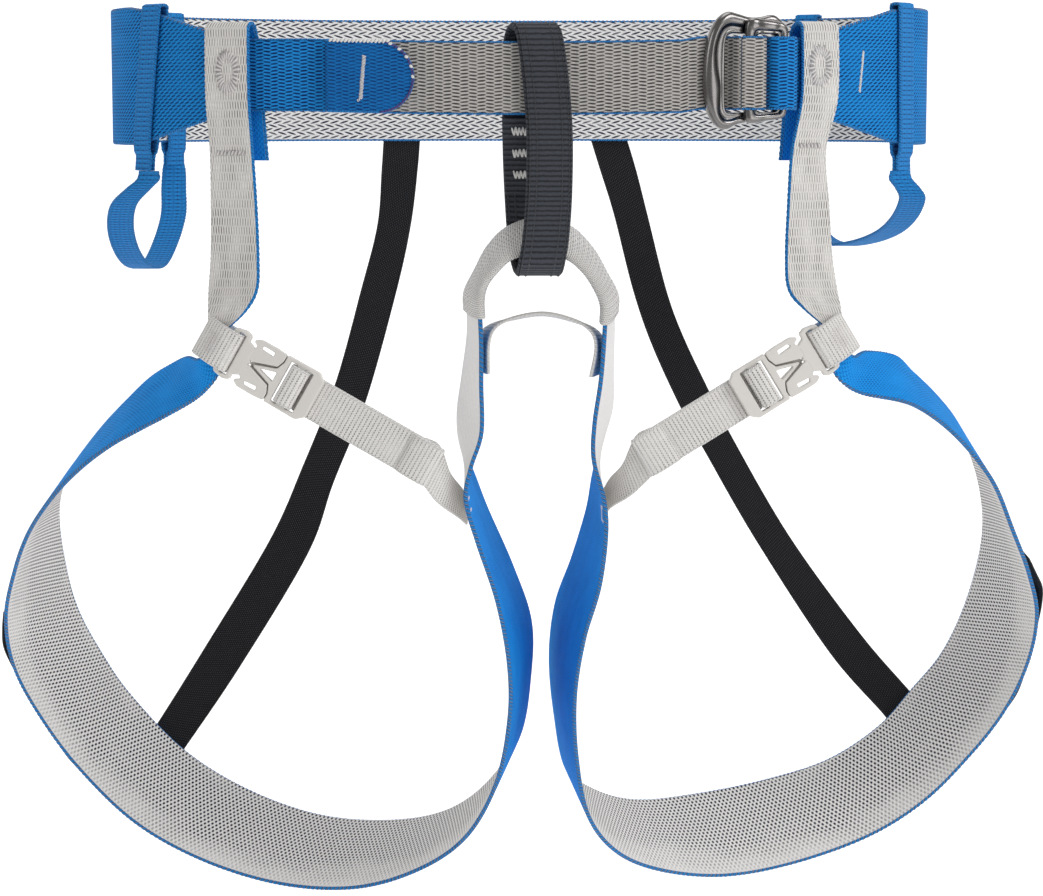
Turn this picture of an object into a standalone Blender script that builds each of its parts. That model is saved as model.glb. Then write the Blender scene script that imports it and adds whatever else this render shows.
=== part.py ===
"""A light climbing harness: waist belt with a double-back buckle, belay loop, sleeved tie-in bridge,
adjustable leg loops with side-release buckles, gear loops and rear elastics.

Frame: the origin is the centre of the waist opening at belt mid-height, the wearer faces -Y, +X is
the wearer's left hand side and +Z is up. Lengths below are millimetres, and MM turns them to metres.
Webbing is swept as a flat ribbon between two edge lines. A row of six numbers is one station of a
ribbon: a point on its first edge, then the point across from it on its second edge.
"""

import math

import bmesh
import bpy
import numpy as np

MM = 0.001
GAP = 0.3

# Waist
WAIST_HALF_WIDTH = 150.0
WAIST_HALF_DEPTH = 95.0
WAIST_SQUARENESS = 2.45
BELT_THICKNESS = 1.6
BELT_HALF_HEIGHT = 24.5
STRAP_HALF_HEIGHT = 12.5
# Half-height of the wide belt against distance round the waist from the front centre.
BELT_TAPER_AT = (100.0, 107.0, 112.0, 127.0, 140.0, 152.0)
BELT_TAPER_HALF_HEIGHT = (12.5, 14.2, 15.9, 20.0, 23.2, BELT_HALF_HEIGHT)
BELT_LEFT_END = -102.0
BELT_RIGHT_END = 106.0
FRONT_SAG = 1.2
FRONT_SAG_REACH = 75.0

# Waist buckle, centred at this distance round the waist
BUCKLE_AT = 78.0
BUCKLE_HEIGHT_OFFSET = 0.5
BUCKLE_HALF_HEIGHT = 19.5
BUCKLE_WINDOW_HALF_HEIGHT = 13.3
BUCKLE_FRAME_LEVEL = (1.9, 4.4)
BUCKLE_PLATE_LEVEL = (4.9, 7.4)
PLATE_HINGE_AT = 11.6

# Webbing thicknesses and widths
RISER_THICKNESS = 1.4
LEG_LOOP_THICKNESS = 1.6
LEG_STRAP_THICKNESS = 1.1
LEG_STRAP_HALF_WIDTH = 7.4
GEAR_WEBBING_THICKNESS = 1.1
GEAR_WEBBING_HALF_WIDTH = 5.0
GEAR_TAB_BOTTOM = -33.5
HOLDER_GAP = 0.5
GEAR_AXIS_HEIGHT = -34.8
BELAY_THICKNESS = 2.4
BELAY_HALF_WIDTH = 8.0
ELASTIC_THICKNESS = 1.2

# Side-release buckle
BUCKLE_BODY_HALF_THICKNESS = 1.5
PRONG_PIVOT = (6.6, 3.2)

# Stations of the leg loops, from the hip collar round the thigh to the sleeve. First the edge that
# is nearer the knee, then the edge that is nearer the waist.
LEFT_LEG_ROWS = (
    (-104, -79, -102.5, -109.5, -79, -94.5),
    (-109, -76.5, -109, -113.3, -75.5, -99),
    (-116, -70, -115, -118.5, -61, -99.5),
    (-128, -60, -122, -125, -43, -103),
    (-139, -52, -128, -136, -28, -110),
    (-151, -43, -135, -147, -13, -120),
    (-164, -32, -145, -159, 3, -132),
    (-176, -20, -157, -171, 19, -146),
    (-187, -8, -172, -180, 33, -158),
    (-195, 4, -189, -184, 44, -172),
    (-201, 16, -209, -184, 55, -191),
    (-201, 30, -231, -181, 66, -213),
    (-193, 40, -253, -173, 76, -234),
    (-179, 49, -277, -162, 84, -254),
    (-157, 54, -301, -141, 91, -279),
    (-129, 54, -317, -115, 92, -296),
    (-97, 48, -325, -85, 88, -306),
    (-66, 36, -323, -55, 78, -306),
    (-40, 20, -311, -30, 63, -298),
    (-21, 2, -293, -12, 45, -281),
    (-9, -17, -267, 0, 26, -257),
    (-4, -34, -239, 4, 9, -229),
    (-4, -48, -215, 4, -7, -205),
    (-8, -63, -189, -3, -25, -181),
    (-15, -75, -165, -12, -39, -158),
    (-19, -82, -149, -17, -50, -143),
    (-17, -87, -137, -21, -57, -132),
    (-13, -91, -124, -22, -64, -120),
    (-13, -95, -107, -20, -70, -105),
    (-13, -98, -92, -18, -76, -90),
    (-13.5, -101, -79, -18, -81, -77),
)
RIGHT_LEG_ROWS = (
    (108.5, -79, -101.5, 114, -79, -93.5),
    (114, -76.5, -108, 118, -75.5, -98),
    (122, -71, -112.5, 124, -61, -97.5),
    (137, -62, -116, 137, -41, -101),
    (146, -55, -120, 145, -28, -108),
    (157, -46, -128, 155, -14, -117),
    (168, -36, -139, 165, -1, -128),
    (178, -25, -152, 174, 14, -142),
    (187, -12, -170, 181, 30, -158),
    (196, 1, -189, 185, 43, -175),
    (202, 14, -208, 185, 55, -193),
    (201, 27, -230, 181, 66, -215),
    (194, 39, -252, 174, 76, -235),
    (182, 48, -272, 163, 82, -251),
    (165, 54, -292, 150, 87, -268),
    (143, 56, -307, 129, 90, -283),
    (113, 52, -317, 102, 87, -291),
    (84, 43, -320, 74, 80, -295),
    (58, 32, -315, 49, 73, -296),
    (39, 19, -304, 31, 61, -289),
    (27, 3, -285, 19, 47, -276),
    (22, -13, -258, 14, 30, -249),
    (21, -29, -231, 12, 14, -223),
    (24, -45, -206, 14, -5, -199),
    (29, -62, -184, 20, -24, -178),
    (31, -75, -163, 25, -39, -158),
    (30, -82, -149, 27, -49, -144),
    (26, -87, -134, 30, -56, -130),
    (26, -91, -121, 33, -64, -117),
    (28, -95, -106, 33, -70, -103),
    (29, -98, -93, 33, -76, -90),
    (29.5, -101, -81, 33, -81, -78),
)

# Stations of the risers below the belt, down to the hip collar, with the same two edges.
LEFT_RISER_ROWS = (
    (-108, -78, -26, -92, -85.5, -26),
    (-108, -77, -45, -91, -85, -45),
    (-108.5, -75, -63, -90.5, -85, -63),
    (-109.5, -74, -75, -91, -85.5, -74),
    (-105.5, -78.5, -84.5, -95.5, -85, -81.5),
    (-106.5, -78.5, -93, -101.5, -83, -86.5),
    (-103.5, -78.5, -100.5, -107.5, -79.5, -91),
)
RIGHT_RISER_ROWS = (
    (107, -78, -26, 94, -85.5, -26),
    (108.5, -77, -45, 93, -85, -45),
    (110, -75, -63, 92.5, -85, -63),
    (112, -74, -75, 93.5, -85.5, -74),
    (110, -78.5, -83.5, 99, -85, -80.5),
    (111, -78.5, -92, 106, -83, -85.5),
    (108, -78.5, -99.5, 112, -79.5, -90),
)

# Stations of the bridge webbing inside the sleeve: front edge, then rear edge.
BRIDGE_ROWS = (
    (-13.5, -102.2, -75, -16.8, -83.4, -73),
    (-13, -103.5, -71, -14.5, -85, -67),
    (-9.5, -105.5, -65, -11, -87, -59),
    (-3.5, -106.5, -60.5, -4, -89.5, -53),
    (7, -107, -58.5, 7, -90, -50.5),
    (17.5, -106.5, -61, 18, -89.5, -53.5),
    (24, -105.5, -65.5, 25.5, -87, -60),
    (28, -103.5, -71.5, 30, -85, -68),
    (29, -102.2, -76.2, 32, -83.4, -73.6),
)
SLEEVE_ROWS = (
    (-13.3, -100.3, -83, -18.1, -79.3, -81),
    (-13.6, -101.8, -77, -17.8, -82, -75),
) + BRIDGE_ROWS[1:-1] + (
    (29.4, -101.6, -78.5, 32.9, -82, -76),
    (29.3, -100.2, -85, 33, -79.3, -82),
)
CROSS_STRAP_ROWS = (
    (-10.6, -94, -103, -16, -72, -101),
    (-10.4, -96, -92, -15, -76, -90),
    (-8, -97, -86.2, -11, -78, -84),
    (-1.5, -97, -83, -2, -78, -80.5),
    (8.5, -97, -81.5, 8.5, -78, -79),
    (18.5, -97, -83.8, 19, -78, -81.3),
    (24.5, -97, -87.5, 27, -78, -85.2),
    (26.4, -96, -93.5, 30, -76, -91),
    (24.6, -94, -104, 30.2, -72, -102),
)

LEFT_GEAR_ROWS = (
    (-132, -57.5, -36.6),
    (-136.5, -54, -40),
    (-143, -46, -46),
    (-146, -34, -54.5),
    (-146, -20, -63.5),
    (-144, -4, -70),
    (-140.5, 12, -71),
    (-138, 28, -64),
    (-136, 41, -53),
    (-135, 51, -43),
    (-134.5, 56.5, -36.6),
)
RIGHT_GEAR_ROWS = (
    (136, -56, -36.6),
    (139.5, -52, -40),
    (142, -45, -44),
    (141, -32, -51),
    (137.5, -16, -57),
    (131, 4, -61.5),
    (123, 24, -63.5),
    (117.5, 42, -60.5),
    (115, 59, -50),
    (114.7, 73, -36.6),
)

LEFT_ELASTIC_ROWS = (
    (-57, 98.5, -36, -42, 98.5, -36),
    (-59, 100, -59, -45, 100, -59),
    (-66, 101, -86, -51, 101, -86),
    (-77, 101, -125, -64, 101, -132),
    (-91, 101, -160, -78, 101, -167),
    (-105, 100, -191, -89, 100, -197),
    (-133, 98, -237, -118, 98, -245),
    (-152.5, 95.2, -268, -141.5, 95.5, -279.5),
    (-157, 86, -274, -146, 85.5, -285.5),
)
RIGHT_ELASTIC_ROWS = (
    (33, 98.5, -36, 48, 98.5, -36),
    (39, 100, -55, 53, 100, -55),
    (47, 101, -86, 61, 101, -86),
    (55, 101, -109, 68, 101, -105),
    (67, 101, -135, 79, 101, -128),
    (77, 101, -153, 88, 101, -146),
    (99, 100, -191, 113, 100, -189),
    (130, 95, -238, 143, 94, -230),
    (153, 89.5, -264, 164, 86, -254),
    (159, 79, -272.5, 171, 76, -263),
)


# ---------------------------------------------------------------- materials


def material(name, colour, roughness, metallic=0.0):
    """A Principled material with one colour."""
    made = bpy.data.materials.new(name)
    made.use_nodes = True
    shader = made.node_tree.nodes["Principled BSDF"]
    shader.inputs["Base Color"].default_value = (*colour, 1.0)
    shader.inputs["Roughness"].default_value = roughness
    shader.inputs["Metallic"].default_value = metallic
    return made


def clear_scene():
    for obj in list(bpy.data.objects):
        bpy.data.objects.remove(obj, do_unlink=True)


# ---------------------------------------------------------------- curves and frames


def smooth(rows, steps):
    """Points of a Catmull-Rom curve through the rows, with this many steps between two rows."""
    rows = np.asarray(rows, float)
    before = np.vstack([2 * rows[0] - rows[1], rows[:-2]])
    after = np.vstack([rows[2:], 2 * rows[-1] - rows[-2]])
    made = []
    for p0, p1, p2, p3 in zip(before, rows[:-1], rows[1:], after):
        for t in np.arange(steps) / steps:
            made.append(
                p1
                + 0.5 * t * (p2 - p0)
                + t * t * (p0 - 2.5 * p1 + 2 * p2 - 0.5 * p3)
                + 0.5 * t**3 * (p3 - 3 * p2 + 3 * p1 - p0)
            )
    made.append(rows[-1])
    return np.array(made)


def unit(vector):
    return vector / np.linalg.norm(vector)


def waist_outline(angle):
    """A point of the waist curve and its outward normal. Angle 0 is the front centre."""
    x, y = math.sin(angle), -math.cos(angle)
    n = WAIST_SQUARENESS
    reach = (abs(x / WAIST_HALF_WIDTH) ** n + abs(y / WAIST_HALF_DEPTH) ** n) ** (-1 / n)
    point = np.array([x, y]) * reach
    size = np.array([WAIST_HALF_WIDTH, WAIST_HALF_DEPTH])
    normal = np.sign(point) * np.abs(point / size) ** (n - 1) / size
    return point, unit(normal)


def waist_lengths():
    """Angles round the waist, and the distance from the front centre at each."""
    angles = np.linspace(-math.pi, math.pi, 2001)
    points = np.array([waist_outline(a)[0] for a in angles])
    steps = np.linalg.norm(np.diff(points, axis=0), axis=1)
    lengths = np.concatenate([[0.0], np.cumsum(steps)])
    return angles, lengths - lengths[-1] / 2


WAIST_ANGLES, WAIST_LENGTHS = waist_lengths()
WAIST_HALF_GIRTH = WAIST_LENGTHS[-1]


def waist_point(along, out, height):
    """The point at a distance round the waist, an offset outwards and a height."""
    girth = 2 * WAIST_HALF_GIRTH
    wrapped = (along + WAIST_HALF_GIRTH) % girth - WAIST_HALF_GIRTH
    point, normal = waist_outline(np.interp(wrapped, WAIST_LENGTHS, WAIST_ANGLES))
    x, y = point + normal * out
    return np.array([x, y, height])


def belt_half_height(along):
    return float(np.interp(abs(along), BELT_TAPER_AT, BELT_TAPER_HALF_HEIGHT))


def front_sag(along):
    """How far the front webbing hangs below the belt's mid-height."""
    return -FRONT_SAG * max(0.0, 1 - (along / FRONT_SAG_REACH) ** 2)


class Frame:
    """A local frame: its point(a, b, c) is origin + a first + b second + c third."""

    def __init__(self, origin, first, second, third):
        self.origin = np.asarray(origin, float)
        self.axes = np.array([first, second, third], float)

    def point(self, a, b, c):
        return self.origin + np.array([a, b, c]) @ self.axes


def waist_buckle_frame():
    """Along the waist to +X, up, and out to the front, at the buckle's centre."""
    origin = waist_point(BUCKLE_AT, 0, BUCKLE_HEIGHT_OFFSET)
    along = unit(waist_point(BUCKLE_AT + 1, 0, 0) - waist_point(BUCKLE_AT - 1, 0, 0))
    out = np.array([along[1], -along[0], 0.0])
    return Frame(origin, along, (0, 0, 1), out)


def leg_buckle_frame(bar, strap_end):
    """Along the strap towards the crotch, across it upwards, and out to the front."""
    bar = np.asarray(bar, float)
    along = unit(np.asarray(strap_end, float) - bar)
    across = unit(np.cross(along, (0, -1, 0)))
    across = across if across[2] > 0 else -across
    out = np.cross(along, across)
    out = out if out[1] < 0 else -out
    return Frame(bar, along, across, out)


WAIST_BUCKLE = waist_buckle_frame()
LEG_BUCKLES = {
    "left": leg_buckle_frame((-100.3, -84, -96.4), (-31.2, -91, -135.5)),
    "right": leg_buckle_frame((105.0, -84, -95.2), (42.1, -91, -133.4)),
}


# ---------------------------------------------------------------- meshes


def finish_object(name, bm, look):
    """An object from a closed mesh, its faces turned outwards."""
    bmesh.ops.recalc_face_normals(bm, faces=bm.faces)
    if bm.calc_volume(signed=True) < 0:
        bmesh.ops.reverse_faces(bm, faces=bm.faces)
    mesh = bpy.data.meshes.new(name)
    bm.to_mesh(mesh)
    bm.free()
    mesh.materials.append(look)
    obj = bpy.data.objects.new(name, mesh)
    bpy.context.scene.collection.objects.link(obj)
    return obj


def add_object(name, points, faces, look):
    """An object from points in millimetres and the faces between them."""
    bm = bmesh.new()
    verts = [bm.verts.new(p * MM) for p in points]
    for face in faces:
        bm.faces.new([verts[i] for i in face])
    return finish_object(name, bm, look)


def ribbon_sections(rows, closed):
    """The first edge, second edge and face normal of a ribbon at each of its rows."""
    first, second = rows[:, :3], rows[:, 3:]
    middle = (first + second) / 2
    if closed:
        run = np.roll(middle, -1, axis=0) - np.roll(middle, 1, axis=0)
    else:
        run = np.gradient(middle, axis=0)
    normal = np.cross(run, second - first)
    return first, second, normal / np.linalg.norm(normal, axis=1, keepdims=True)


def ribbon(name, rows, thickness, look, closed=False, across=2):
    """A flat strip of webbing through the rows, as one closed solid."""
    first, second, normal = ribbon_sections(np.asarray(rows, float), closed)
    share = np.linspace(0, 1, across + 1)
    points, faces = [], []
    for a, b, n in zip(first, second, normal):
        line = [a + (b - a) * s for s in share]
        points += [p + n * thickness / 2 for p in line]
        points += [p - n * thickness / 2 for p in reversed(line)]
    size = 2 * (across + 1)
    count = len(first)
    for i in range(count if closed else count - 1):
        here, there = i * size, (i + 1) % count * size
        for k in range(size):
            near, far = k, (k + 1) % size
            faces.append((here + near, here + far, there + far, there + near))
    if not closed:
        for start in (0, (count - 1) * size):
            for k in range(across):
                far = size - 1 - k
                faces.append((start + k, start + k + 1, start + far - 1, start + far))
    return add_object(name, points, faces, look)


def sleeve(name, rows, room, wall, look):
    """A flat tube round a ribbon: room is the half-size of its bore, wide and thick."""
    first, second, normal = ribbon_sections(np.asarray(rows, float), False)
    points, faces = [], []
    for a, b, n in zip(first, second, normal):
        middle, width = (a + b) / 2, unit(b - a)
        half = np.linalg.norm(b - a) / 2 + room[0]
        for grow in (wall, 0.0):
            w, t = half + grow, room[1] + grow
            corners = ((-w, 0.4 * t), (-0.85 * w, t), (0.85 * w, t), (w, 0.4 * t))
            ring = corners + tuple((-x, -y) for x, y in corners)
            points += [middle + width * x + n * y for x, y in ring]
    size, count = 8, len(first)
    for i in range(count - 1):
        for layer in (0, size):
            here, there = 2 * size * i + layer, 2 * size * (i + 1) + layer
            for k in range(size):
                far = (k + 1) % size
                faces.append((here + k, here + far, there + far, there + k))
    for start in (0, 2 * size * (count - 1)):
        for k in range(size):
            far = (k + 1) % size
            faces.append((start + k, start + far, start + size + far, start + size + k))
    return add_object(name, points, faces, look)


def rounded(corners, steps=4):
    """An outline of (x, y, radius) corners with each corner turned to an arc."""
    made = []
    count = len(corners)
    for i, (x, y, radius) in enumerate(corners):
        here = np.array([x, y], float)
        if radius == 0:
            made.append(here)
            continue
        back = unit(np.array(corners[i - 1][:2], float) - here)
        on = unit(np.array(corners[(i + 1) % count][:2], float) - here)
        half = math.acos(max(-1.0, min(1.0, float(back @ on)))) / 2
        reach = radius / math.tan(half)
        centre = here + unit(back + on) * radius / math.sin(half)
        start, end = here + back * reach - centre, here + on * reach - centre
        for t in np.linspace(0, 1, steps + 1):
            made.append(centre + radius * unit(start * (1 - t) + end * t))
    return made


def box_outline(x0, x1, y0, y1, radius):
    return rounded([(x0, y0, radius), (x1, y0, radius), (x1, y1, radius), (x0, y1, radius)])


def plate(name, outline, holes, frame, low, high, look):
    """A flat plate with through holes, from an outline in a frame's first two axes."""
    curve = bpy.data.curves.new(name, "CURVE")
    curve.dimensions = "2D"
    curve.fill_mode = "BOTH"
    curve.extrude = (high - low) / 2 * MM
    for loop in (outline, *holes):
        spline = curve.splines.new("POLY")
        spline.points.add(len(loop) - 1)
        for point, (x, y) in zip(spline.points, loop):
            point.co = (x * MM, y * MM, 0, 1)
        spline.use_cyclic_u = True
    drawn = bpy.data.objects.new(name + "_drawn", curve)
    bpy.context.scene.collection.objects.link(drawn)
    bpy.context.view_layer.update()
    mesh = bpy.data.meshes.new_from_object(drawn)
    bpy.data.objects.remove(drawn, do_unlink=True)
    bm = bmesh.new()
    bm.from_mesh(mesh)
    bmesh.ops.remove_doubles(bm, verts=bm.verts, dist=0.005 * MM)
    for vert in bm.verts:
        x, y, z = vert.co
        vert.co = frame.point(x / MM, y / MM, z / MM + (low + high) / 2) * MM
    return finish_object(name, bm, look)


def set_origin(obj, point):
    """Moves an object's origin to a point in millimetres, with its mesh left where it is."""
    point = np.asarray(point, float) * MM
    for vert in obj.data.vertices:
        vert.co = [c - p for c, p in zip(vert.co, point)]
    obj.location = point


# ---------------------------------------------------------------- waist


def waist_rows(rows):
    """Rows of (along, out, height) pairs mapped on to the waist."""
    return [np.concatenate([waist_point(*r[:3]), waist_point(*r[3:])]) for r in rows]


def strip_rows(start, end, out, steps, half=lambda s: STRAP_HALF_HEIGHT, middle=front_sag):
    """Rows of a strip that runs round the waist at one offset."""
    return waist_rows(
        [
            (s, out, middle(s) - half(s), s, out, middle(s) + half(s))
            for s in np.linspace(start, end, steps)
        ]
    )


def buckle_rows(path, half=STRAP_HALF_HEIGHT):
    """Rows of webbing at the waist buckle, along a path of (along, out) in its frame."""
    return [
        np.concatenate([WAIST_BUCKLE.point(a, -half, c), WAIST_BUCKLE.point(a, half, c)])
        for a, c in path
    ]


def build_waist(looks):
    belt_half = BELT_THICKNESS / 2
    girth = 2 * WAIST_HALF_GIRTH
    rows = strip_rows(
        BELT_RIGHT_END,
        girth + BELT_LEFT_END,
        belt_half,
        76,
        half=lambda s: belt_half_height(min(s, girth - s)),
        middle=lambda s: 0.0,
    )
    ribbon("waist_belt", rows, BELT_THICKNESS, looks["blue"])

    inside = -GAP - belt_half
    rows = strip_rows(-128, BUCKLE_AT - 22, inside, 28)
    rows += buckle_rows([(-16, inside), (-12, inside - 0.2), (-8.5, inside - 0.4)])
    ribbon("waist_strap", rows, BELT_THICKNESS, looks["blue"])

    rows = strip_rows(-64.5, BUCKLE_AT - 22, belt_half, 18)
    rows += buckle_rows([(-16, 0.8), (-11, 0.7), (-8.4, 0.6), (-6, 1.6), (-4.9, 3.6), (-4.3, 5.6)])
    ribbon("waist_strap_tail", smooth(rows, 1), BELT_THICKNESS, looks["grey"])

    build_tail_stop(looks)
    build_waist_buckle(looks)


def build_tail_stop(looks):
    """The folded end of the tail: a patch on its front with a half-round end."""
    start, end = -64.5, -35.5
    radius = STRAP_HALF_HEIGHT
    centre = end - radius
    out = BELT_THICKNESS + GAP + BELT_THICKNESS / 2
    rows = []
    for s in np.linspace(start, centre, 7)[:-1]:
        rows.append((s, out, front_sag(s) - radius, s, out, front_sag(s) + radius))
    for angle in np.linspace(0, 82, 9):
        s = centre + radius * math.sin(math.radians(angle))
        half = radius * math.cos(math.radians(angle))
        rows.append((s, out, front_sag(s) - half, s, out, front_sag(s) + half))
    ribbon("waist_tail_stop", waist_rows(rows), BELT_THICKNESS, looks["blue"])


def build_waist_buckle(looks):
    half, window = BUCKLE_HALF_HEIGHT, BUCKLE_WINDOW_HALF_HEIGHT
    outline = box_outline(-15.6, 14.2, -half, half, 7)
    hole = box_outline(-8.0, 10.4, -window, window, 2)
    low, high = BUCKLE_FRAME_LEVEL
    plate("waist_buckle_frame", outline, [hole], WAIST_BUCKLE, low, high, looks["gunmetal"])

    low, high = BUCKLE_PLATE_LEVEL
    outline = box_outline(-1.6, 13.4, -half + 2, half - 2, 3)
    hole = box_outline(2.6, 10.2, -window, window, 1.2)
    made = plate("waist_buckle_plate", outline, [hole], WAIST_BUCKLE, low, high, looks["gunmetal"])
    set_origin(made, WAIST_BUCKLE.point(PLATE_HINGE_AT, 0, (low + high) / 2))

    # The bight of the waist strap round the plate's left bar.
    path = [(-1.9, 1.8), (0.4, 3.0), (3.2, 3.7), (4.6, 4.7), (5.0, 6.2)]
    path += [(4.5, 7.7), (3.2, 8.5), (0.8, 8.6), (-1.8, 8.4), (-3.2, 7.6)]
    ribbon("waist_strap_loop", smooth(buckle_rows(path), 2), BELT_THICKNESS, looks["grey"])

    # The fixed strap round the right bars of frame and plate: out, round the bars and back.
    inside = -GAP - BELT_THICKNESS / 2
    deeper = inside - BELT_THICKNESS - GAP
    front = [
        np.concatenate([waist_point(s, out, -12.2), waist_point(s, out, 12.8)])
        for s, out in ((128, inside), (118, inside), (108, inside), (103, -1.0), (99.5, 0), (97, 1.0))
    ]
    rows = front + buckle_rows([(16.9, 4.6), (15.4, 7.7), (12.5, 8.9), (10, 8.8), (8.2, 7.6), (7.5, 5.8)])
    rows += buckle_rows([(7.5, 3.2), (8.2, 1.2), (10.6, 0.2), (15, -0.6), (20, -1.8)])
    back = [
        np.concatenate([waist_point(s, out, -12.2), waist_point(s, out, 12.8)])
        for s, out in ((104, deeper), (110, deeper), (118, deeper), (128, deeper))
    ]
    ribbon("waist_buckle_strap", smooth(rows + back, 2), BELT_THICKNESS, looks["blue"])


# ---------------------------------------------------------------- risers and leg loops


def wrap_rows(knee_edge, waist_edge, shift, inner, top):
    """The riser's fold over the belt: up the inner side, over the top and down the front."""
    outer = 2 * GAP + BELT_THICKNESS + RISER_THICKNESS / 2
    path = [
        (inner, -30, 1.0),
        (inner, -10, 0.6),
        (inner, 10, 0.2),
        (inner + 0.3, top - 2.2, 0),
        (0.5 * (inner + 0.4), top - 0.3, 0),
        (0.6, top, 0),
        (outer - 0.6, top - 1.0, 0),
        (outer, top - 4, 0),
        (outer, -8, 0),
    ]
    return waist_rows(
        [
            (knee_edge + shift * move, out, z, waist_edge + shift * move, out, z)
            for out, z, move in path
        ]
    )


def build_riser(side, looks):
    if side == "left":
        rows = wrap_rows(-111, -93.5, 4.0, -3.2, 17.6) + list(map(np.array, LEFT_RISER_ROWS))
    else:
        rows = wrap_rows(113, 98, -4.0, -5.1, 17.8) + list(map(np.array, RIGHT_RISER_ROWS))
    ribbon(side + "_riser", smooth(rows, 2), RISER_THICKNESS, looks["grey"])


def build_leg_loop(side, looks):
    rows = LEFT_LEG_ROWS if side == "left" else RIGHT_LEG_ROWS
    ribbon(side + "_leg_loop", smooth(rows, 2), LEG_LOOP_THICKNESS, looks["grey"], across=2)


def leg_surface_point(side, station, share, out):
    """A point on a leg loop: its station, its share of the width and its height off the outside."""
    rows = np.asarray(LEFT_LEG_ROWS if side == "left" else RIGHT_LEG_ROWS, float)
    first, second, normal = ribbon_sections(smooth(rows, 4), False)
    if side == "left":
        normal = -normal
    i = int(round(station * 4))
    return first[i] + (second[i] - first[i]) * share + normal[i] * out


def build_ice_tool_band(side, looks):
    """The elastic band on the outer face of a leg loop, which stands off in two bights."""
    start = 9.2 if side == "left" else 8.4
    lift = (2.1, 3.6, 5.0, 3.6, 2.1, 2.1, 2.1, 3.6, 5.0, 3.6, 2.1)
    rows = []
    for i, out in enumerate(lift):
        station = start + i * 0.36
        low = leg_surface_point(side, station, 0.06, out)
        rows.append(np.concatenate([low, leg_surface_point(side, station, 0.42, out)]))
    ribbon(side + "_screw_holder", smooth(rows, 2), ELASTIC_THICKNESS, looks["black"])


def build_elastic(side, looks):
    """The rear elastic, from the back of the belt to the outside of the leg loop."""
    rows = LEFT_ELASTIC_ROWS if side == "left" else RIGHT_ELASTIC_ROWS
    first = np.asarray(rows[0], float)
    out = BELT_THICKNESS + GAP + ELASTIC_THICKNESS / 2
    belt_end = []
    for height in (-10, -22):
        for x in (first[0], first[3]):
            shape = 1 - abs(x / WAIST_HALF_WIDTH) ** WAIST_SQUARENESS
            y = WAIST_HALF_DEPTH * shape ** (1 / WAIST_SQUARENESS) + out + 0.4
            belt_end += [x, y, height]
    rows = [np.array(belt_end[:6]), np.array(belt_end[6:])] + list(map(np.array, rows))
    ribbon(side + "_rear_elastic", smooth(rows, 2), ELASTIC_THICKNESS, looks["black"])


# ---------------------------------------------------------------- leg buckles and straps


def strap_rows(frame, path, half=LEG_STRAP_HALF_WIDTH):
    """Rows of a leg strap along a path of (along, out) in its buckle's frame."""
    return [np.concatenate([frame.point(a, -half, c), frame.point(a, half, c)]) for a, c in path]


def flipped(outline, sign):
    return [(x, y * sign) for x, y in outline]


def build_leg_buckle(side, looks):
    frame = LEG_BUCKLES[side]
    half = BUCKLE_BODY_HALF_THICKNESS
    look = looks["plastic"]

    upper = [(6.2, 0, 0), (6.2, 5.2, 0.6), (3.2, 6.4, 0.8), (3.4, 8.6, 1.2), (1.2, 9.4, 1.5)]
    upper += [(-3.6, 8.6, 1.6)]
    lower = [(x, -y, r) for x, y, r in reversed(upper[1:])]
    slot = box_outline(-1.0, 2.0, -7.8, 7.8, 0.6)
    plate(side + "_buckle_male", rounded(upper + lower), [slot], frame, -half, half, look)

    arm = [(6.7, 0.4, 0), (7.4, 0.4, 0), (16.0, 3.7, 0.8), (17.2, 6.4, 1.0), (17.2, 9.0, 0.8)]
    arm += [(12.8, 9.3, 3.0), (7.0, 9.2, 2.0), (4.3, 7.6, 0.6), (6.7, 6.0, 0.6)]
    slot = [(7.6, 6.2, 0.8), (13.0, 6.0, 0.9), (13.0, 7.7, 0.7), (8.4, 7.7, 0.7)]
    for sign, name in ((1, "_prong_upper"), (-1, "_prong_lower")):
        outline, hole = flipped(rounded(arm), sign), flipped(rounded(slot), sign)
        made = plate(side + name, outline, [hole], frame, -half, half, look)
        set_origin(made, frame.point(PRONG_PIVOT[0], sign * PRONG_PIVOT[1], 0))

    nose = [(7.9, 0, 0.4), (16.4, 3.1, 0.8), (17.6, 6.2, 0.8), (17.6, 9.0, 0.6)]
    nose += [(30.5, 9.1, 1.5), (33.2, 7.0, 1.5)]
    tip = [(x, -y, r) for x, y, r in reversed(nose[1:])]
    outline = rounded(nose + tip)
    holes = [rounded([(10.6, 0, 0.3), (17.0, 1.9, 0.4), (17.0, -1.9, 0.4)])]
    holes.append(box_outline(19.8, 22.4, -7.8, 7.8, 0.5))
    holes.append(box_outline(25.2, 28.8, -7.8, 7.8, 0.5))
    plate(side + "_buckle_female", outline, holes, frame, -half, half, look)


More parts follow.
